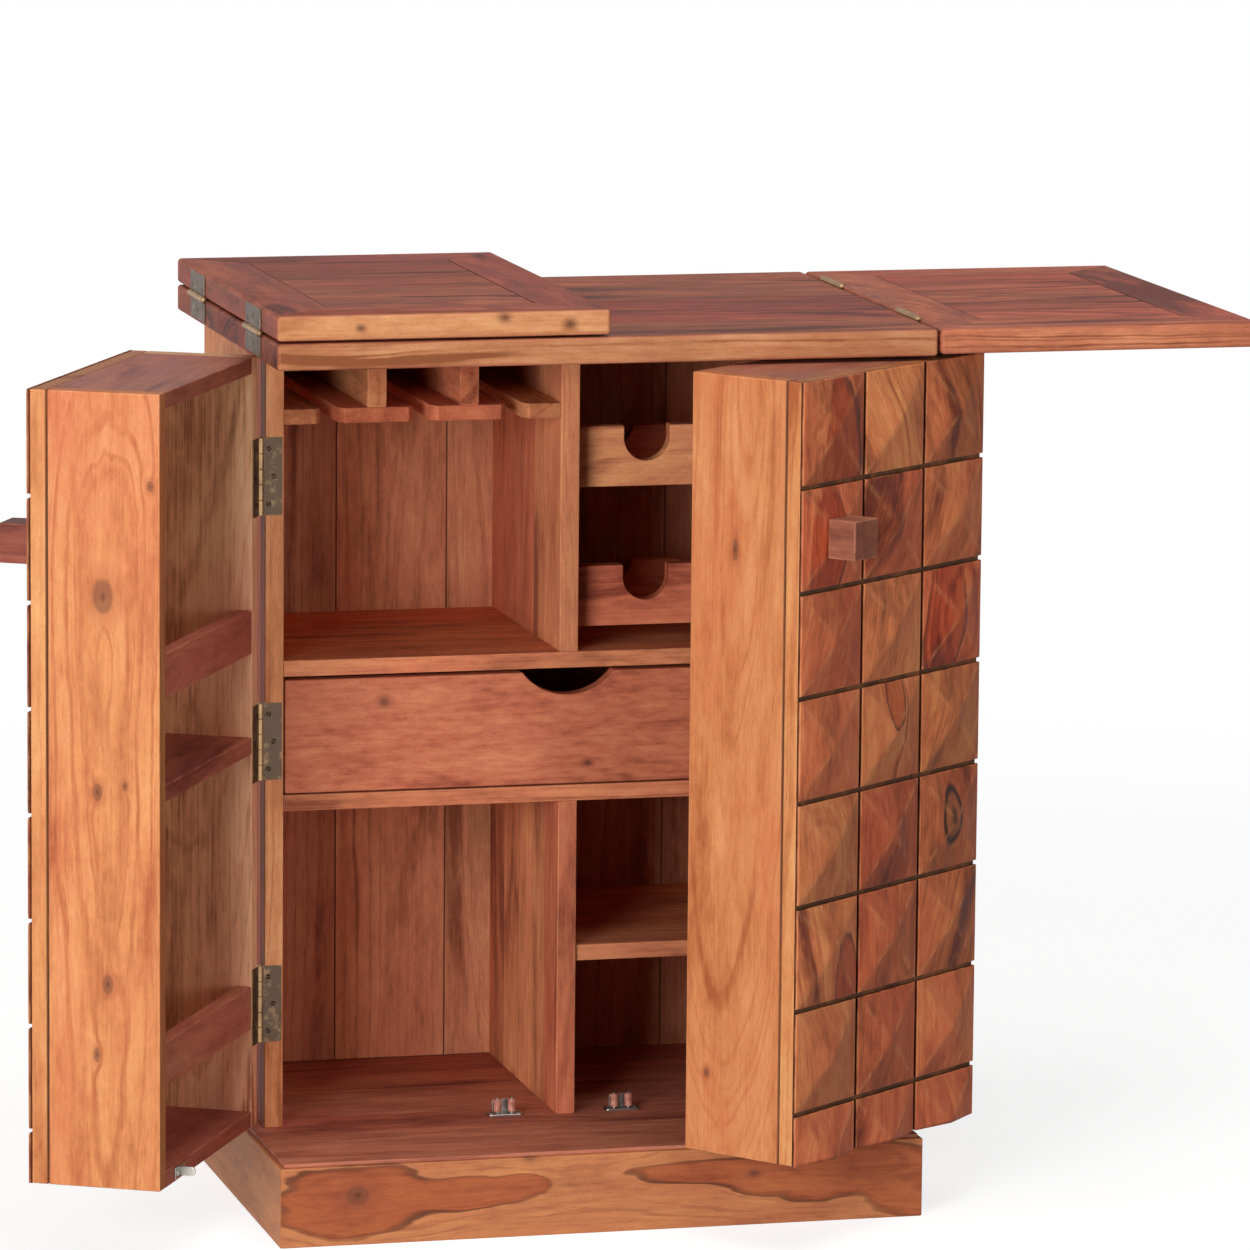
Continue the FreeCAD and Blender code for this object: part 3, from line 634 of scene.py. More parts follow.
def plastic(name, colour, shadow):
    """Moulded plastic with a fine surface and faint cloudiness."""
    material, g, shader = new_material(name)
    place = g.add("TexCoord").outputs["Object"]
    cloud = g.noise(place, (260.0, 260.0, 260.0), 3.0)
    grit = g.noise(place, (2500.0, 2500.0, 2500.0), 1.0)
    colour = g.mix(g.step(cloud, 0.35, 0.7), colour, shadow)
    coat(g, shader, colour, g.math("MULTIPLY_ADD", grit, 0.2, 0.28), grit, 0.15, 0.1 * MM)
    return material


DOOR_WOOD = palette((244, 170, 118), (226, 141, 93), (184, 96, 60))
TAN_WOOD = palette((252, 206, 166), (234, 176, 138), (166, 106, 80))
CASE_WOOD = palette((236, 164, 118), (212, 132, 97), (148, 82, 63))
BACK_WOOD = palette((236, 172, 132), (214, 141, 109), (150, 88, 69))
DRAWER_WOOD = palette((228, 158, 114), (204, 126, 92), (140, 76, 57))
DARK_WOOD = palette((208, 136, 110), (180, 106, 87), (122, 62, 53))
TOP_WOOD = palette((198, 118, 92), (158, 84, 67), (92, 42, 34))
CARVED_WOOD = palette((236, 156, 104), (206, 114, 77), (112, 52, 38))
PLINTH_WOOD = palette((220, 144, 96), (200, 124, 86), (144, 78, 58))

# Knots and ovals: place along and across the board, half length, half width, and an oval's tail
LEFT_WALL_KNOTS = [
    (0.186, 0.0, 0.020, 0.011),
    (0.292, 0.046, 0.006, 0.004),
    (0.001, -0.006, 0.009, 0.005),
    (0.008, 0.021, 0.005, 0.003),
    (-0.182, 0.004, 0.010, 0.006),
    (-0.250, -0.007, 0.008, 0.004),
]
LEFT_WALL_OVALS = [(0.170, 0.001, 0.16, 0.046, 6.0)]
RIGHT_WALL_OVALS = [(0.42, -0.012, 0.16, 0.030, 1.0), (-0.16, 0.02, 0.20, 0.040, 1.0)]
RIGHT_WALL_KNOTS = [(0.212, 0.003, 0.012, 0.004), (-0.30, 0.030, 0.006, 0.004)]
DRAWER_KNOTS = [(-0.185, 0.032, 0.006, 0.005), (0.02, -0.036, 0.004, 0.003)]
PLINTH_KNOTS = [
    (-0.245, 0.010, 0.013, 0.010),
    (-0.075, 0.041, 0.008, 0.006),
    (0.150, 0.012, 0.006, 0.004),
]
# Patches of heartwood, each of joined ovals
PLINTH_HEARTS = [
    [(-0.246, 0.004, 0.085, 0.036), (-0.150, 0.006, 0.085, 0.017), (-0.085, 0.012, 0.034, 0.012)],
    [(0.110, 0.016, 0.090, 0.013), (0.230, 0.012, 0.125, 0.028), (0.320, -0.010, 0.060, 0.030)],
]
LEAF_EDGE_KNOTS = [
    (0.0817, 0.0004, 0.004, 0.003),
    (-0.0581, -0.007, 0.005, 0.004),
    (-0.1218, 0.001, 0.005, 0.004),
]

CASE = wood("case_wood", **CASE_WOOD, shine=0.05)
BACK = wood("back_wood", **BACK_WOOD, shine=0.05)
INSIDE = wood("inside_wood", **DARK_WOOD, figure=0.22)
TOP = wood("top_wood", **TOP_WOOD, figure=0.45, streaks=0.75, gloss=0.6, shine=0.08)
LEAF_EDGE = wood(
    "leaf_edge_wood", **TOP_WOOD, edge_knots=LEAF_EDGE_KNOTS, streaks=0.6, gloss=0.6, shine=0.09
)
DRAWER = wood("drawer_wood", **DRAWER_WOOD, knots=DRAWER_KNOTS, figure=0.14, streaks=0.15, mottle=0.9)
DOOR = wood("door_wood", **DOOR_WOOD)
LEFT_WALL = wood(
    "left_wall_wood",
    **DOOR_WOOD,
    knots=LEFT_WALL_KNOTS,
    ovals=LEFT_WALL_OVALS,
    figure=0.36,
    streaks=0.3,
)
RIGHT_WALL = wood(
    "right_wall_wood",
    **DOOR_WOOD,
    knots=RIGHT_WALL_KNOTS,
    ovals=RIGHT_WALL_OVALS,
    figure=0.26,
    streaks=0.25,
)
TAN = wood("hinge_wall_wood", **TAN_WOOD, figure=0.3, streaks=0.4, fibres=1.1)
CARVED = wood("carved_wood", **CARVED_WOOD, figure=0.22, streaks=0.35)
KNOB = wood("knob_wood", **DARK_WOOD)
PLINTH = wood("plinth_wood", **PLINTH_WOOD, figure=0.2)
PLINTH_FRONT = wood(
    "plinth_front_wood", **PLINTH_WOOD, knots=PLINTH_KNOTS, hearts=PLINTH_HEARTS, streaks=0.1
)
BRASS = metal("antique_brass_metal", screen(94, 77, 64), screen(196, 160, 118), 0.5, 0.45)
ZINC = metal("zinc_metal", screen(150, 146, 140), screen(205, 202, 196), 0.35, 0.7)
ROLLER = plastic("roller_moulding", screen(196, 132, 112), screen(160, 96, 80))


# Cabinet boards


def single(name, node, material, slot, bm, *grain):
    """A node that is one board of its own shape."""
    piece = Piece(name, node)
    piece.board(bm, *grain)
    piece.finish(material)


# Tone of each back board, from left to right: the second and third lighter as painted light where the left
# bays are lit, the last two darker as painted shade behind the right bays
BACK_LIGHT_AND_SHADE = (0.86, 1.1, 1.02, 0.62, 0.66)
BACK_HUE = 0.5

# Bottle cradles: height, radius and depth of the notches
CRADLES = {"front_cradles": (60 * MM, 23 * MM, 35 * MM), "rear_cradles": (45 * MM, 40 * MM, 30 * MM)}


def plain(name, node, along, material, count=1, width=EASED, value=None, hue=None):
    """A node that is one box: a single board, or staves glued side by side."""
    piece = Piece(name, node)
    blank = eased_box(*span(node), width)
    parts = [blank] if count == 1 else staves(blank, Y, count, piece.rng)
    for part in parts:
        piece.board(part, along, value, hue)
    piece.finish(material)


def pair(name, node, axis, size, along, material, value=None):
    """A node that is two equal boards, one at each end of an axis."""
    piece = Piece(name, node)
    for low, high in split(node, axis, size):
        piece.board(eased_box(low, high), along, value)
    piece.finish(material)


def plinth():
    for side, along, sign in (("front", X, 1), ("back", X, -1), ("left", Y, 1), ("right", Y, -1)):
        node = "plinth_" + side
        low, high = span(node)
        across = Y if along == X else X
        t = high[across] - low[across]
        outer, inner = (low[across], high[across]) if sign > 0 else (high[across], low[across])
        start, end = low[along], high[along]
        outline = [(start, outer), (end, outer), (end - t, inner), (start + t, inner)]
        if along == Y:
            outline = [(x, y) for y, x in outline]
        board = ease(prism(outline, Z, low.z, high.z), EASED, 2, 40, WORN)
        material = PLINTH_FRONT if side == "front" else PLINTH
        tone = (1.0, 0.3) if along == X else (0.95, None)
        single(node + "_board", node, material, "wood_plinth", board, along, *tone)
    plain("plinth_bearer_board", "plinth_bearer", Y, PLINTH)
    low, high = span("floor_board")
    piece = Piece("floor_boards", "floor_board")
    lip = eased_box(Vector((low.x, low.y, high.z - FLOOR_LIP)), high)
    for part in staves(lip, Y, 5, piece.rng):
        piece.board(part, X)
    inset = Vector((FLOOR_INSET, FLOOR_INSET, 0))
    piece.board(box(low + inset, high - inset - Vector((0, 0, FLOOR_LIP))), X)
    piece.finish(INSIDE)


def side_boards(side):
    """A side of the carcass. Its outer face is darkened near the front as painted shadow of the open door
    that stands close.
    """
    node = side + "_side"
    low, high = span(node)
    piece = Piece(node + "_boards", node)
    parts = staves(eased_box(low, high), Y, 3, piece.rng)
    front = parts[0]
    border = Vector((0, low.y + DOOR_SHADOW_WIDTH, 0))
    geometry = [*front.verts, *front.edges, *front.faces]
    bmesh.ops.bisect_plane(front, geom=geometry, plane_co=border, plane_no=(0, 1, 0))
    front.normal_update()
    # Painted shadow: the outer face near the front gets the dark of the joints
    layer = front.faces.layers.float["rim"]
    for face in front.faces:
        outward = face.normal.x * (-1 if side == "left" else 1)
        if outward > 0.3 and face.calc_center_median().y < border.y:
            face[layer] = GRIMY_AND_SHADED
    for part in parts:
        # The left side is 1.2 times as bright, painted light that lifts the shadow of the open left door;
        # the paler front edges are sapwood and partly the same painted light
        piece.board(part, Z, 1.2 if side == "left" else 0.95, sap=(Y, -1, 0.85))
    piece.finish(CASE)


def back_boards():
    piece = Piece("back_panel", "back_boards")
    for tone, (low, high) in zip(BACK_LIGHT_AND_SHADE, divide("back_boards", X, len(BACK_LIGHT_AND_SHADE))):
        piece.board(eased_box(low, high, 0.8 * MM, 1, GRIMY_AND_SHADED), Z, tone, BACK_HUE)
    piece.finish(BACK)


def counter():
    piece = Piece("counter_boards", "counter_top")
    blank = eased_box(*span("counter_top"), COUNTER_ROUNDING, 4)
    for part in staves(blank, Y, 5, piece.rng):
        piece.board(part, X, piece.rng.uniform(0.8, 1.2), sap=(Y, -1, 0.65))
    piece.finish(TOP)


def rack():
    low, high = span("rack_slats")
    pitch = (high.x - low.x) / GLASS_SLOTS
    middles = [low.x + (i + 0.5) * pitch for i in range(GLASS_SLOTS)]
    edges = [low.x]
    for middle in middles:
        edges += [middle - GLASS_SLOT / 2, middle + GLASS_SLOT / 2]
    edges.append(high.x)
    piece = Piece("rack_slat_boards", "rack_slats")
    for i in range(GLASS_SLOTS + 1):
        left, right = edges[2 * i], edges[2 * i + 1]
        outline = corners(Vector((left, low.y, 0)), Vector((right, high.y, 0)))
        if i < GLASS_SLOTS:
            outline[1:2] = [(right - SLOT_MOUTH / 2, low.y), (right, low.y + SLOT_MOUTH)]
        if i > 0:
            outline[0:1] = [(left, low.y + SLOT_MOUTH), (left + SLOT_MOUTH / 2, low.y)]
        piece.board(ease(prism(outline, Z, low.z, high.z), EASED), Y)
    piece.finish(CASE)
    pair("rack_hanger_boards", "rack_hangers", X, HANGER_THICKNESS, Y, CASE)


def scoop(x, z, radius, half, steps):
    """Points along the bottom of a round hollow, from its right end to its left end."""
    angles = [half - 2 * half * i / steps for i in range(steps + 1)]
    return [(x + radius * math.sin(a), z - radius * math.cos(a)) for a in angles]


def upright(low, high):
    """Corners of a board seen from the front, from the upper left one down and round to the upper right."""
    return [(low.x, high.z), (low.x, low.z), (high.x, low.z), (high.x, high.z)]


def notched(low, high, radius, depth):
    """Outline of a cradle across the right bay, with two round-bottomed notches in its top edge."""
    outline = upright(low, high)
    centre_z = high.z - depth + radius
    half = math.acos(max(0.0, centre_z - high.z) / radius)
    for x in (high.x - NOTCH_INSET, low.x + NOTCH_INSET):
        hollow = scoop(x, centre_z, radius, half, 20)
        if centre_z < high.z:
            hollow = [(x + radius, high.z), *hollow, (x - radius, high.z)]
        outline += hollow
    return outline


def cradles():
    for node, (height, radius, depth) in CRADLES.items():
        piece = Piece(node + "_boards", node)
        for low, high in split(node, Z, height):
            outline = notched(low, high, radius, depth)
            piece.board(ease(prism(outline, Y, low.y, high.y), EASED), X, 1.05)
        piece.finish(CASE)


def drawer():
    low, high = span("drawer_front")
    radius = (PULL_HALF_WIDTH**2 + PULL_DEPTH**2) / (2 * PULL_DEPTH)
    half = math.asin(PULL_HALF_WIDTH / radius)
    outline = upright(low, high) + scoop(0, high.z - PULL_DEPTH + radius, radius, half, 24)
    front = ease(prism(outline, Y, low.y, high.y), 1.4 * MM)
    single("drawer_front_board", "drawer_front", DRAWER, "wood_drawer", front, X, 1.0)
    pair("drawer_side_boards", "drawer_sides", X, DRAWER_WALL, Y, DRAWER)
    plain("drawer_back_board", "drawer_back", X, DRAWER)
    plain("drawer_bottom_boards", "drawer_bottom", X, DRAWER, 3, 0.4 * MM)


# Folding leaves


def leaf(side):
    is_left = side == "left"
    frame_node = side + "_leaf_frame"
    low, high = span(frame_node)
    piece = Piece(side + "_leaf_frame_boards", frame_node)
    blank = eased_box(low, high, LEAF_ROUNDING, 5)
    ends = [Vector((x, y, 0)) for x, y in corners(low, high)]
    inward = [Vector((0, 1, 0)), Vector((-1, 0, 0)), Vector((0, -1, 0)), Vector((1, 0, 0))]
    value, paleness = (1.0, 0.95) if is_left else (1.4, 0.2)
    for i in range(4):
        part = blank.copy()
        start, end = ends[i], ends[(i + 1) % 4]
        run = (end - start).normalized()
        cut(part, start + inward[i] * LEAF_FRAME_WIDTH, inward[i])
        cut(part, start, inward[i] - run)
        cut(part, end, inward[i] + run)
        part = ease(part, 0.5 * MM, 1, 40, GRIMY_AND_SHADED)
        piece.board(part, X if i % 2 == 0 else Y, value, sap=(Y, -1, paleness))
    blank.free()
    piece.finish(LEAF_EDGE if is_left else TOP)
    node = side + "_leaf_boards"
    piece = Piece(side + "_leaf_panel", node)
    for low, high in divide(node, Y, LEAF_BOARDS):
        value = piece.rng.uniform(0.75, 1.15) * (1.0 if is_left else 1.45)
        piece.board(eased_box(low, high, 0.6 * MM, 1, GRIMY_AND_SHADED), X, value)
    piece.finish(TOP)


# Doors

# Painted light and shade on the facets of a carved block: lighter on the left and top, darker on the right
# and bottom, as if lit from the upper left
LEFT_FACET_LIGHT = 0.10
RIGHT_FACET_SHADE = -0.08
TOP_FACET_LIGHT = 0.02
BOTTOM_FACET_SHADE = -0.12

# Figure of some carved blocks, by row from the top and column from the free edge
BLOCK_FIGURES = {
    (0, 0): {"heart": (-0.020, 0.010, 0.030), "hue": 0.6, "turn": 0.0},
    (0, 1): {"value": 1.12, "hue": 0.0, "turn": -0.45},
    (0, 2): {"hue": 0.55, "turn": -0.3},
    (1, 0): {"heart": (-0.015, -0.010, 0.028), "hue": 0.9, "turn": 0.0},
    (1, 1): {"hue": 0.8, "turn": 0.5},
    (2, 1): {"value": 1.08, "hue": 0.05},
    (2, 2): {"heart": (0.0, -0.018, 0.032), "hue": 0.85},
    (3, 1): {"heart": (0.034, 0.004, 0.014), "hue": 0.2},
    (4, 0): {"value": 0.95, "hue": 0.0},
    (4, 1): {"hue": 1.0, "value": 0.86},
    (4, 2): {"eye": (0.004, -0.002, 0.014), "hue": 0.6, "turn": 0.0},
    (5, 0): {"heart": (-0.040, 0.024, 0.020), "hue": 0.3},
    (5, 1): {"hue": 0.75, "turn": 0.0},
    (6, 1): {"hue": 0.9, "value": 0.9},
    (6, 2): {"hue": 0.5, "value": 1.05, "turn": 0.0},
}


def stations(low, middle, high, cells=14):
    """Places from low to high that are dense at the rims, with as many cells on each side of the middle."""
    places = []
    if middle - low > MM:
        places += [low + s for s in RIM_STEPS]
        start = low + RIM_STEPS[-1]
        places += [start + (middle - start) * i / cells for i in range(1, cells)]
    places.append(middle)
    end = high - RIM_STEPS[-1]
    places += [middle + (end - middle) * i / cells for i in range(1, cells)]
    return places + [high - s for s in reversed(RIM_STEPS)]


def block(u, z, peak_z, base_y, rng):
    """A carved block: a low pyramid, cut by hand with softened ridges and a rounded rim."""
    rim = RIM_STEPS[-1]
    is_half = peak_z - z[0] < MM
    middle_u = (u[0] + u[1]) / 2 + rng.uniform(-3, 3) * MM
    middle_z = peak_z if is_half else peak_z + rng.uniform(-3, 3) * MM
    us = stations(u[0], middle_u, u[1])
    zs = stations(z[0], middle_z, z[1])
    peak = BLOCK_PEAK * rng.uniform(0.86, 1.0)
    shift = Vector(rng.uniform(0, 50) for _ in range(3))
    bm = bmesh.new()
    bm.faces.layers.float.new("rim")
    wear = bm.verts.layers.float.new("wear")
    facet_shading = bm.verts.layers.float.new("facet_shading")
    grid = []
    for zz in zs:
        line = []
        for uu in us:
            s = abs(uu - middle_u) / ((u[1] - middle_u) if uu > middle_u else (middle_u - u[0]))
            t = abs(zz - middle_z) / ((z[1] - middle_z) if zz > middle_z or is_half else (middle_z - z[0]))
            slope = (s**RIDGE_POWER + t**RIDGE_POWER) ** (1 / RIDGE_POWER)
            edge = min(uu - u[0], u[1] - uu, zz - z[0] if not is_half else rim, z[1] - zz)
            drop = rim - math.sqrt(max(0.0, rim**2 - max(0.0, rim - edge) ** 2))
            wobble = noise.noise(Vector((uu, 0, zz)) * 38 + shift) * 0.45 * MM
            wobble *= min(1.0, edge / (8 * MM))
            height = BLOCK_RIM + peak * max(0.0, 1 - slope) + wobble - 0.6 * drop
            v = bm.verts.new((uu, base_y - height, zz))
            ridge = max(0.0, 1 - abs(s - t) / RIDGE_WIDTH) * min(1.0, slope * 4)
            v[wear] = max(0.5 * ridge, 0.5 if edge < 0.6 * MM else 0.0)
            # Painted light and shade: each facet's tone shifts by the side it faces
            sideways = max(0.0, min(1.0, 0.5 + 4 * (s - t)))
            beside = LEFT_FACET_LIGHT if uu < middle_u else RIGHT_FACET_SHADE
            above = TOP_FACET_LIGHT if zz > middle_z else BOTTOM_FACET_SHADE
            v[facet_shading] = sideways * beside + (1 - sideways) * above
            line.append(v)
        grid.append(line)
    for i in range(len(zs) - 1):
        for j in range(len(us) - 1):
            bm.faces.new((grid[i][j], grid[i][j + 1], grid[i + 1][j + 1], grid[i + 1][j]))
    right = [line[-1] for line in grid[1:]]
    left = [line[0] for line in grid[-2:0:-1]]
    rim_loop = grid[0] + right + grid[-1][-2::-1] + left
    foot = [bm.verts.new((v.co.x, base_y, v.co.z)) for v in rim_loop]
    # Painted shade: the block's sides down into the grooves get the dark of the joints
    groove_shade = bm.faces.layers.float["rim"]
    for i in range(len(rim_loop)):
        j = (i + 1) % len(rim_loop)
        side = bm.faces.new((rim_loop[i], foot[i], foot[j], rim_loop[j]))
        side[groove_shade] = 0.8
    bm.faces.new(foot)
    bmesh.ops.recalc_face_normals(bm, faces=bm.faces)
    return bm


def blocks(side):
    node = side + "_door_blocks"
    low, high = span(node)
    width = (high.x - low.x) / BLOCK_COLUMNS
    height = (high.z - low.z) / BLOCK_ROWS
    half = BLOCK_GROOVE / 2
    piece = Piece(side + "_door_carving", node)
    for row in range(math.ceil(BLOCK_ROWS)):
        top = high.z - row * height
        bottom = max(top - height, low.z)
        is_half = row + 1 > BLOCK_ROWS
        z = (bottom if is_half else bottom + half, top if row == 0 else top - half)
        for column in range(BLOCK_COLUMNS):
            start = low.x + column * width
            last = column == BLOCK_COLUMNS - 1
            u = (start if column == 0 else start + half, start + width if last else start + width - half)
            bm = block(u, z, z[0] if is_half else (top + bottom) / 2, high.y, piece.rng)
            turn = piece.rng.choice((0.0, 0.0, 0.12, -0.12, 0.3, -0.25))
            from_free = column if side == "right" else BLOCK_COLUMNS - 1 - column
            figure = BLOCK_FIGURES.get((row, from_free), {}) if side == "right" else {}
            settings = {"value": piece.rng.uniform(0.88, 1.1), "turn": turn, **figure}
            piece.board(bm, Z, **settings)
    piece.finish(CARVED)


def front_panel(side):
    """The board behind the carving. It shows as an edge beside the free wall and in the grooves."""
    node = side + "_door_front_panel"
    low, high = span(node)
    piece = Piece(node + "_boards", node)
    # The rims where the door walls meet it are darkened: grime and painted shade in the joint
    blank = darken_joint(eased_box(low, high, DOOR_ROUNDING), Y, high.y)
    for part in staves(blank, X, 3, piece.rng):
        # Its front face, which shows in the grooves between the blocks, is made dark as painted shade; its
        # top face is made a little darker
        piece.board(darken_facing(darken_facing(part, Y, -1, 0.9), Z, 1, 0.25), Z, 0.94, 0.15)
    piece.finish(DOOR)


def door(side):
    stem = side + "_door_"
    wall = LEFT_WALL if side == "left" else RIGHT_WALL
    plain(stem + "hinge_wall_board", stem + "hinge_wall", Z, TAN, value=1.14, hue=0.5)
    low, high = span(stem + "free_wall")
    # Its rims at the front panel are darkened, grime and painted shade in the joint, and its back edge is
    # darkened as painted shadow
    board = darken_facing(darken_joint(eased_box(low, high, DOOR_ROUNDING), Y, low.y), Y, 1, 0.45)
    grain = (Z, 0.97 if side == "left" else 0.92, 0.45, (0.004, -0.30, 0.03))
    single(stem + "free_wall_board", stem + "free_wall", wall, "wood_door", board, *grain)
    plain(stem + "shelf_boards", stem + "shelf", X, INSIDE)
    front_panel(side)
    pair(stem + "caps_boards", stem + "caps", Z, CAP_THICKNESS, X, INSIDE, 0.84)
    pair(stem + "rails_boards", stem + "rails", Z, RAIL_HEIGHT, X, INSIDE, 1.0)
    blocks(side)
    # The knob is made 0.72 as bright, painted shade of the shadow it stands in
    knob = eased_box(*span(stem + "knob"), DOOR_ROUNDING, 3)
    single(stem + "knob_block", stem + "knob", KNOB, "wood_knob", knob, Y, 0.72)


# Hinges, catches and strikes

DOOR_HINGE = {
    "length": 76 * MM,
    "width": 22 * MM,
    "plate_thickness": 0.9 * MM,
    "offset": 0.15 * MM,
    "radius": 3.5 * MM,
    "pin": 1.6 * MM,
    "dull_and_shade": 0.0,
}
LEAF_HINGE = {
    "length": 70 * MM,
    "width": 23 * MM,
    "plate_thickness": 1.1 * MM,
    "offset": 0.4 * MM,
    "radius": 3.2 * MM,
    "pin": 1.4 * MM,
    "dull_and_shade": 0.6,
}
DOOR_HINGE_PITCH = 260.03 * MM
LEAF_HINGE_PLACES = (-133 * MM, 139 * MM)
KNUCKLES = 5
KNUCKLE_GAP = 0.3 * MM
SCREW_RADIUS = 2.6 * MM
CATCH_PLATE = 2 * MM
CATCH_HALF_WIDTH = 18 * MM
CATCH_SCREW_REACH = 13.5 * MM
LUG_HALF_WIDTH = 11 * MM
STRIKE_PLATE = 1.5 * MM
STRIKE_SCREW_REACH = 10 * MM
TONGUE_HALF_HEIGHT = 4.5 * MM
TONGUE_HALF_THICKNESS = 1.2 * MM
PIN_CLEARANCE = 0.08 * MM
CATCH_PIN_RADIUS = 1.5 * MM
PIN_HEAD_RADIUS = 2.4 * MM
SCREW_PLACES = ((8.6 * MM, -27 / 76), (13.6 * MM, 0.0), (8.6 * MM, 27 / 76))
ROLLERS = [f"{side}_catch_{place}_roller" for side in ("left", "right") for place in ("left", "right")]


def plate(outline, axis, low, high, rounding):
    """A metal plate over an outline, with edges that are rounded and worn."""
    return ease(prism(outline, axis, low, high), rounding, rim=WORN)


def circle(radius, angles):
    return [(radius * math.cos(a), radius * math.sin(a)) for a in angles]


def turned(profile, hollow=False, segments=32):
    """A solid of revolution about Z from (radius, height) pairs. A hollow one doesn't touch the axis."""
    bm = bmesh.new()
    bm.faces.layers.float.new("rim")
    rings = []
    for radius, height in profile:
        count = segments if radius > 0 else 1
        turns = [2 * math.pi * i / segments for i in range(count)]
        rings.append([bm.verts.new((*point, height)) for point in circle(radius, turns)])
    for lower, upper in zip(rings, rings[1:] + rings[:1] if hollow else rings[1:]):
        for i in range(segments):
            j = (i + 1) % segments
            below = [lower[k % len(lower)] for k in (i, j)]
            above = [upper[k % len(upper)] for k in (j, i)]
            bm.faces.new(list(dict.fromkeys(below + above)))
    bmesh.ops.recalc_face_normals(bm, faces=bm.faces)
    return bm


def drum(radius, low, high, shoulder):
    """Profile of a cylinder with softened shoulders."""
    flat = radius - shoulder
    mid = radius - 0.3 * shoulder
    lower = [(0, low), (flat, low), (mid, low + 0.3 * shoulder), (radius, low + shoulder)]
    return lower + [(r, low + high - h) for r, h in reversed(lower)]


def tube(radius, bore, low, high, shoulder):
    """Profile of a cylinder with softened shoulders and a bore."""
    return [(bore, low), *drum(radius, low, high, shoulder)[1:-1], (bore, high)]


def dome(radius, low, height):
    """Profile of a round screw or pin head."""
    arc = [math.pi / 2 * i / 6 for i in range(1, 6)]
    curve = [(radius * math.cos(a), low + height * math.sin(a)) for a in arc]
    return [(0, low), (radius, low), *curve, (0, low + height)]


def rounded_outline(low, high, radius, steps=5):
    """A rectangle with rounded corners, as points in its plane."""
    left, bottom = low[0] + radius, low[1] + radius
    right, top = high[0] - radius, high[1] - radius
    points = []
    for quarter, (x, y) in enumerate(((right, top), (left, top), (left, bottom), (right, bottom))):
        turns = [math.pi / 2 * (quarter + i / steps) for i in range(steps + 1)]
        points += [(x + dx, y + dy) for dx, dy in circle(radius, turns)]
    return points


def slotted_head(radius, slot_angle, low, high):
    """The two halves of a flat screw head and the bottom of its slot, along Y."""
    half_slot = 0.4 * MM
    start = math.asin(half_slot / radius)
    parts = []
    for half in (0, math.pi):
        angles = [start + (math.pi - 2 * start) * i / 14 + half + slot_angle for i in range(15)]
        parts.append(prism(circle(radius, angles), Y, low, high))
    whole = circle(radius, [2 * math.pi * i / 28 for i in range(28)])
    parts.append(prism(whole, Y, low + 0.6 * (high - low), high))
    return parts


def hinge_leaf(piece, matrix, moving, length, width, plate_thickness, offset, radius, pin, dull_and_shade):
    """One plate of a butt hinge with knuckles and screws. Z is the pin, the plate is on the +Y side."""
    if moving:
        matrix = matrix @ Matrix.Rotation(math.pi, 4, "X")
    reach = radius + KNUCKLE_GAP
    back = offset + plate_thickness
    outline = rounded_outline((reach, -length / 2), (width, length / 2), 1.2 * MM)
    piece.fit(plate(outline, Y, offset, back, 0.25 * MM), 0.0, dull_and_shade, matrix)
    step = length / KNUCKLES
    for k in range(1 if moving else 0, KNUCKLES, 2):
        low = -length / 2 + k * step + KNUCKLE_GAP / 2
        high = low + step - KNUCKLE_GAP
        knuckle = tube(radius, pin + PIN_CLEARANCE, low, high, 0.5 * MM)
        piece.fit(turned(knuckle, True), 0.85, dull_and_shade, matrix)
        tab = box(Vector((pin + 0.5 * MM, offset, low)), Vector((reach + 0.6 * MM, back, high)))
        piece.fit(tab, 0.3, dull_and_shade, matrix)
    for across, share in SCREW_PLACES:
        place = matrix @ Matrix.Translation((across, 0, share * length))
        slot_angle = piece.rng.uniform(0, math.pi)
        # The screw heads are made fully dull and dark, painted shade at their rims
        for part in slotted_head(SCREW_RADIUS, slot_angle, offset - 0.12 * MM, offset + 0.1 * MM):
            piece.fit(part, 0.0, 1.0, place)


def hinge_pin(piece, matrix, length, pin):
    for end in (matrix, matrix @ Matrix.Rotation(math.pi, 4, "X")):
        head = turned(dome(PIN_HEAD_RADIUS, 0, 1.2 * MM))
        piece.fit(head, 0.9, at=end @ Matrix.Translation((0, 0, length / 2)))
    piece.fit(turned(drum(pin, -length / 2, length / 2, 0.1 * MM)), 0.2, at=matrix)


def axes(place, x_direction, y_direction):
    x, y = Vector(x_direction), Vector(y_direction)
    return Matrix.Translation(place) @ Matrix((x, y, x.cross(y))).transposed().to_4x4()


def hinge_places():
    """Local axes of every hinge, by the body that it carries."""
    joints = {joint["name"]: Vector(joint["pos_m"]) for joint in frame["joints"] if "pos_m" in joint}
    places = {}
    for side, sign in (("left", -1), ("right", 1)):
        middle = joints[side + "_door_swing"]
        levels = [Vector((0, 0, i * DOOR_HINGE_PITCH)) for i in (-1, 0, 1)]
        places[side + "_door"] = [axes(middle + level, (-sign, 0, 0), (0, 1, 0)) for level in levels]
        middle = joints[side + "_leaf_fold"]
        spots = [(middle.x, y, middle.z) for y in LEAF_HINGE_PLACES]
        places[side + "_leaf"] = [axes(spot, (0, 0, -1), (-sign, 0, 0)) for spot in spots]
    return places


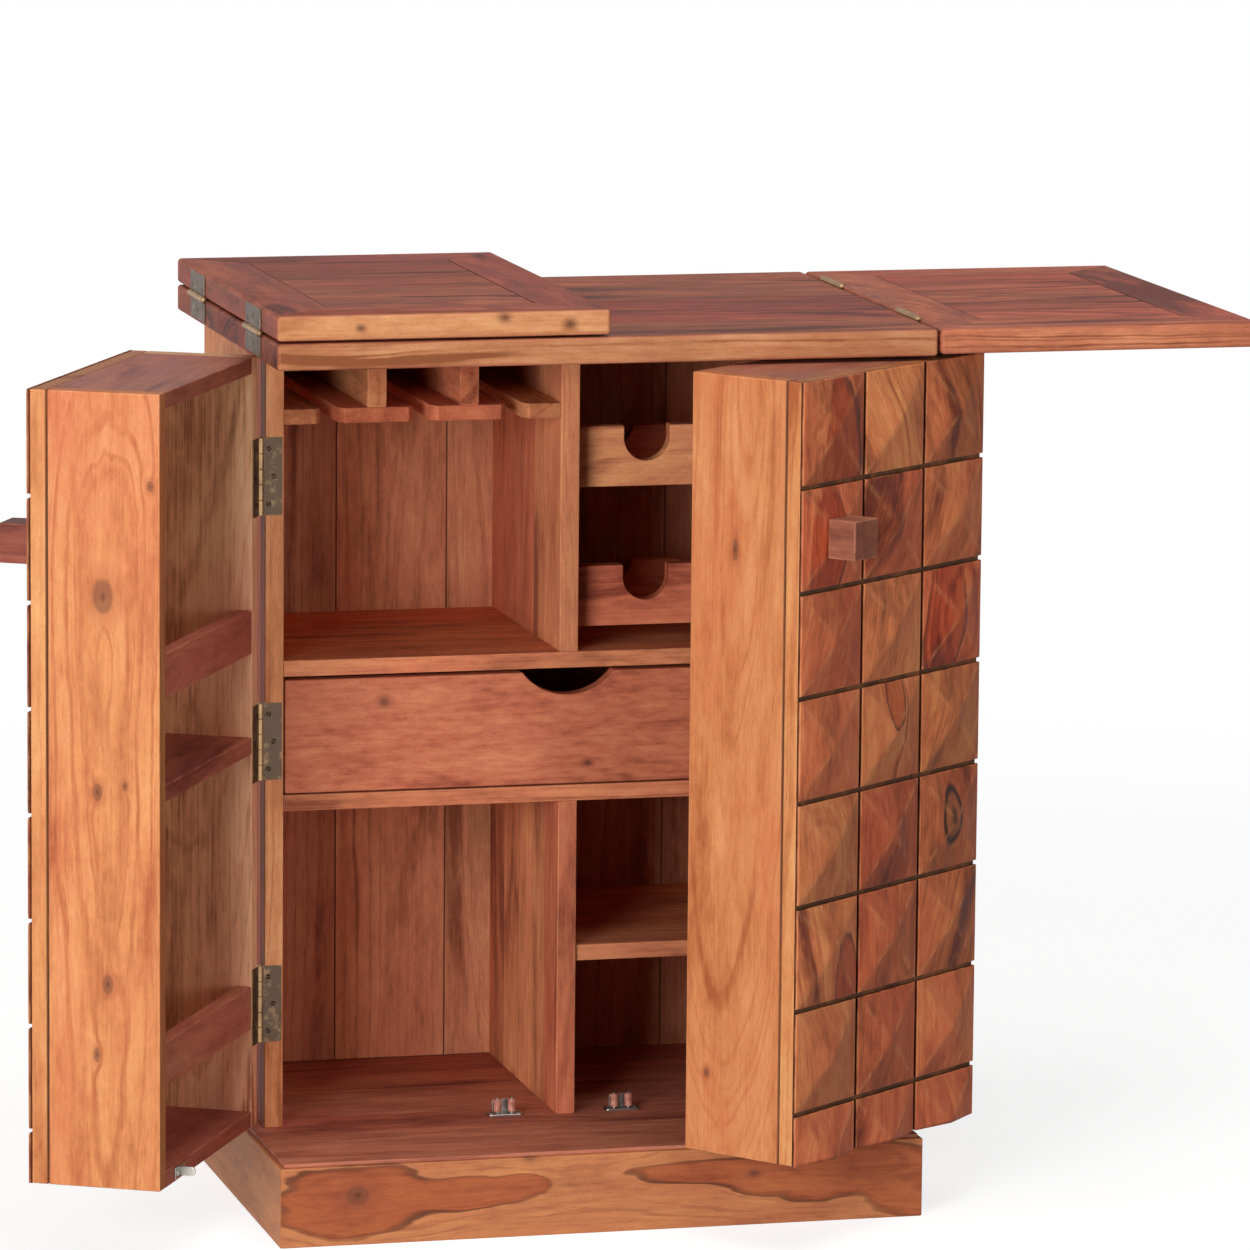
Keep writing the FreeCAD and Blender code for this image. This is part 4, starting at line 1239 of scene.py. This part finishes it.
def hinges():
    fixed = Piece(
        "cabinet_hinge_plates",
        "stile_hinge_leaves",
        "top_hinge_leaves",
        "door_hinge_pins",
        "leaf_hinge_pins",
        "cabinet_hinge_screws",
    )
    for body, places in hinge_places().items():
        sizes = DOOR_HINGE if body.endswith("door") else LEAF_HINGE
        turning = Piece(body + "_hinge_plates", body + "_hinges")
        for matrix in places:
            hinge_leaf(fixed, matrix, False, **sizes)
            hinge_leaf(turning, matrix, True, **sizes)
            hinge_pin(fixed, matrix, sizes["length"], sizes["pin"])
        turning.finish(BRASS)
    fixed.finish(BRASS)


def catches():
    low, high = span("catch_bases")
    floor = low.z + CATCH_PLATE
    base = Piece("catch_plates", "catch_bases")
    for first in (0, 2):
        one, other = (span(name) for name in ROLLERS[first : first + 2])
        middle = (one[0] + other[1]) / 2
        left, right = middle.x - CATCH_HALF_WIDTH, middle.x + CATCH_HALF_WIDTH
        outline = rounded_outline((left, low.y), (right, high.y), 4 * MM)
        base.fit(plate(outline, Z, low.z, floor, 0.5 * MM), 0.2)
        left, right = middle.x - LUG_HALF_WIDTH, middle.x + LUG_HALF_WIDTH
        lug = rounded_outline((left, low.z + MM), (right, high.z - 3 * MM), 3 * MM)
        base.fit(plate(lug, Y, high.y - 1.6 * MM, high.y - 0.4 * MM, 0.3 * MM), 0.1)
        for reach in (-CATCH_SCREW_REACH, CATCH_SCREW_REACH):
            screw = turned(dome(SCREW_RADIUS, floor, 1.0 * MM))
            base.fit(screw, 0.3, 0.5, Matrix.Translation((middle.x + reach, middle.y, 0)))
    for name in ROLLERS:
        bottom, top = span(name)
        middle = (bottom + top) / 2
        radius = (top.x - bottom.x) / 2
        at = Matrix.Translation((middle.x, middle.y, 0))
        head_base = top.z + 0.2 * MM
        base.fit(turned(drum(PIN_HEAD_RADIUS, floor, bottom.z - 0.2 * MM, 0.2 * MM)), 0.4, at=at)
        base.fit(turned(drum(CATCH_PIN_RADIUS, floor, top.z + 0.4 * MM, 0.1 * MM)), 0.4, at=at)
        base.fit(turned(dome(PIN_HEAD_RADIUS, head_base, high.z - head_base)), 0.6, at=at)
        wheel = Piece(name + "_wheel", name)
        profile = tube(radius, CATCH_PIN_RADIUS + PIN_CLEARANCE, bottom.z, top.z, 1.0 * MM)
        waist = [(radius, middle.z - MM), (radius - 0.5 * MM, middle.z), (radius, middle.z + MM)]
        wheel.fit(turned(profile[:4] + waist + profile[4:], True), at=at)
        wheel.finish(ROLLER)
    base.finish(ZINC)


def strike(side):
    node = side + "_door_strike"
    low, high = span(node)
    middle = (low + high) / 2
    piece = Piece(node + "_plate", node)
    back = low.y + STRIKE_PLATE
    outline = rounded_outline((low.x, low.z), (high.x, high.z), 3 * MM)
    piece.fit(plate(outline, Y, low.y, back, 0.4 * MM), 0.4)
    bottom, top = middle.z - TONGUE_HALF_HEIGHT, middle.z + TONGUE_HALF_HEIGHT
    left, right = middle.x - TONGUE_HALF_THICKNESS, middle.x + TONGUE_HALF_THICKNESS
    tongue = rounded_outline((low.y, bottom), (high.y, top), 4 * MM)
    piece.fit(plate(tongue, X, left, right, 0.5 * MM), 0.6)
    for reach in (-STRIKE_SCREW_REACH, STRIKE_SCREW_REACH):
        place = Matrix.Translation((middle.x + reach, back, middle.z))
        place = place @ Matrix.Rotation(-math.pi / 2, 4, "X")
        piece.fit(turned(dome(2.8 * MM, 0, 1.6 * MM)), 0.6, at=place)
    piece.finish(ZINC)


# Stage, light and camera


def rays_seen(g):
    """1 for rays from the camera and for those that mirror or pass through something."""
    path = g.add("LightPath").outputs
    seen = g.math("MAXIMUM", path["Is Camera Ray"], path["Is Glossy Ray"])
    return g.math("MAXIMUM", seen, path["Is Transmission Ray"])


def stage():
    bm = bmesh.new()
    bmesh.ops.create_grid(bm, x_segments=1, y_segments=1, size=30.0)
    data = bpy.data.meshes.new("floor")
    bm.to_mesh(data)
    bm.free()
    floor = add_object("floor", data)
    material = bpy.data.materials.new("pale_floor")
    g = new_graph(material)
    seen = rays_seen(g)
    lift = g.add("Emission", {"Color": (1, 1, 1, 1), "Strength": g.times(seen, 0.80)})
    matt = g.add("BsdfDiffuse", {"Color": (0.42, 0.42, 0.42, 1)})
    near = g.add("AddShader", {0: lift.outputs[0], 1: matt.outputs[0]})
    white = g.add("Emission", {"Color": (1, 1, 1, 1), "Strength": 1.0})
    middle = g.add("VectorMath", {0: g.add("NewGeometry").outputs["Position"]}, operation="LENGTH")
    share = g.times(g.step(middle.outputs["Value"], 1.0, 3.0), seen)
    both = g.add("MixShader", {0: share, 1: near.outputs[0], 2: white.outputs[0]})
    g.add("OutputMaterial", {"Surface": both.outputs[0]})
    data.materials.append(material)

    world = bpy.data.worlds.new("studio")
    g = new_graph(world)
    strength = g.math("MULTIPLY_ADD", rays_seen(g), 0.98, 0.02)
    background = g.add("Background", {"Color": (1, 1, 1, 1), "Strength": strength})
    g.add("OutputWorld", {"Surface": background.outputs[0]})
    bpy.context.scene.world = world


def softbox(name, place, target, size, power):
    """A square lamp of a size in metres and a power in watts, turned to a target."""
    data = bpy.data.lights.new(name, "AREA")
    data.shape = "SQUARE"
    data.size = size
    data.energy = power
    lamp = add_object(name, data)
    lamp.location = place
    lamp.rotation_mode = "QUATERNION"
    lamp.rotation_quaternion = (Vector(target) - Vector(place)).to_track_quat("-Z", "Y")


def lights():
    middle = (0, 0, 0.45)
    softbox("key", (-3.1, -3.95, 1.05), middle, 2.1, 190)
    softbox("fill", (2.3, -4.9, 1.1), middle, 1.6, 47)
    softbox("top", (0.3, -1.0, 4.4), middle, 2.6, 78)
    softbox("rear", (-3.2, 3.8, 1.2), middle, 2.0, 46)


def camera():
    """Stands at the photograph's viewing angle, far off and with a long lens."""
    data = bpy.data.cameras.new("camera")
    data.lens = 224.12
    data.sensor_width = 36.0
    data.clip_end = 100
    seen = add_object("camera", data)
    right = Vector((0.96895, -0.24711, 0.00896))
    up = Vector((0.03103, 0.15746, 0.98706))
    back = Vector((-0.24531, -0.95612, 0.16023))
    turn = Matrix((right, up, back)).transposed()
    seen.matrix_world = Matrix.Translation((-1.8152, -7.3789, 1.79225)) @ turn.to_4x4()
    bpy.context.scene.camera = seen


plinth()
back_boards()
counter()
for side in ("left", "right"):
    side_boards(side)
    leaf(side)
    door(side)
    strike(side)
for node, along, count, value in (
    ("upper_divider", Z, 3, None),
    ("lower_divider", Z, 5, None),
    ("upper_shelf", X, 3, 1.12),
    ("lower_shelf", X, 3, None),
    ("bay_shelf", X, 2, None),
):
    plain(node + "_boards", node, along, CASE, count, value=value)
rack()
cradles()
drawer()
hinges()
catches()
stage()
lights()
camera()
bpy.context.scene.view_settings.view_transform = "Standard"
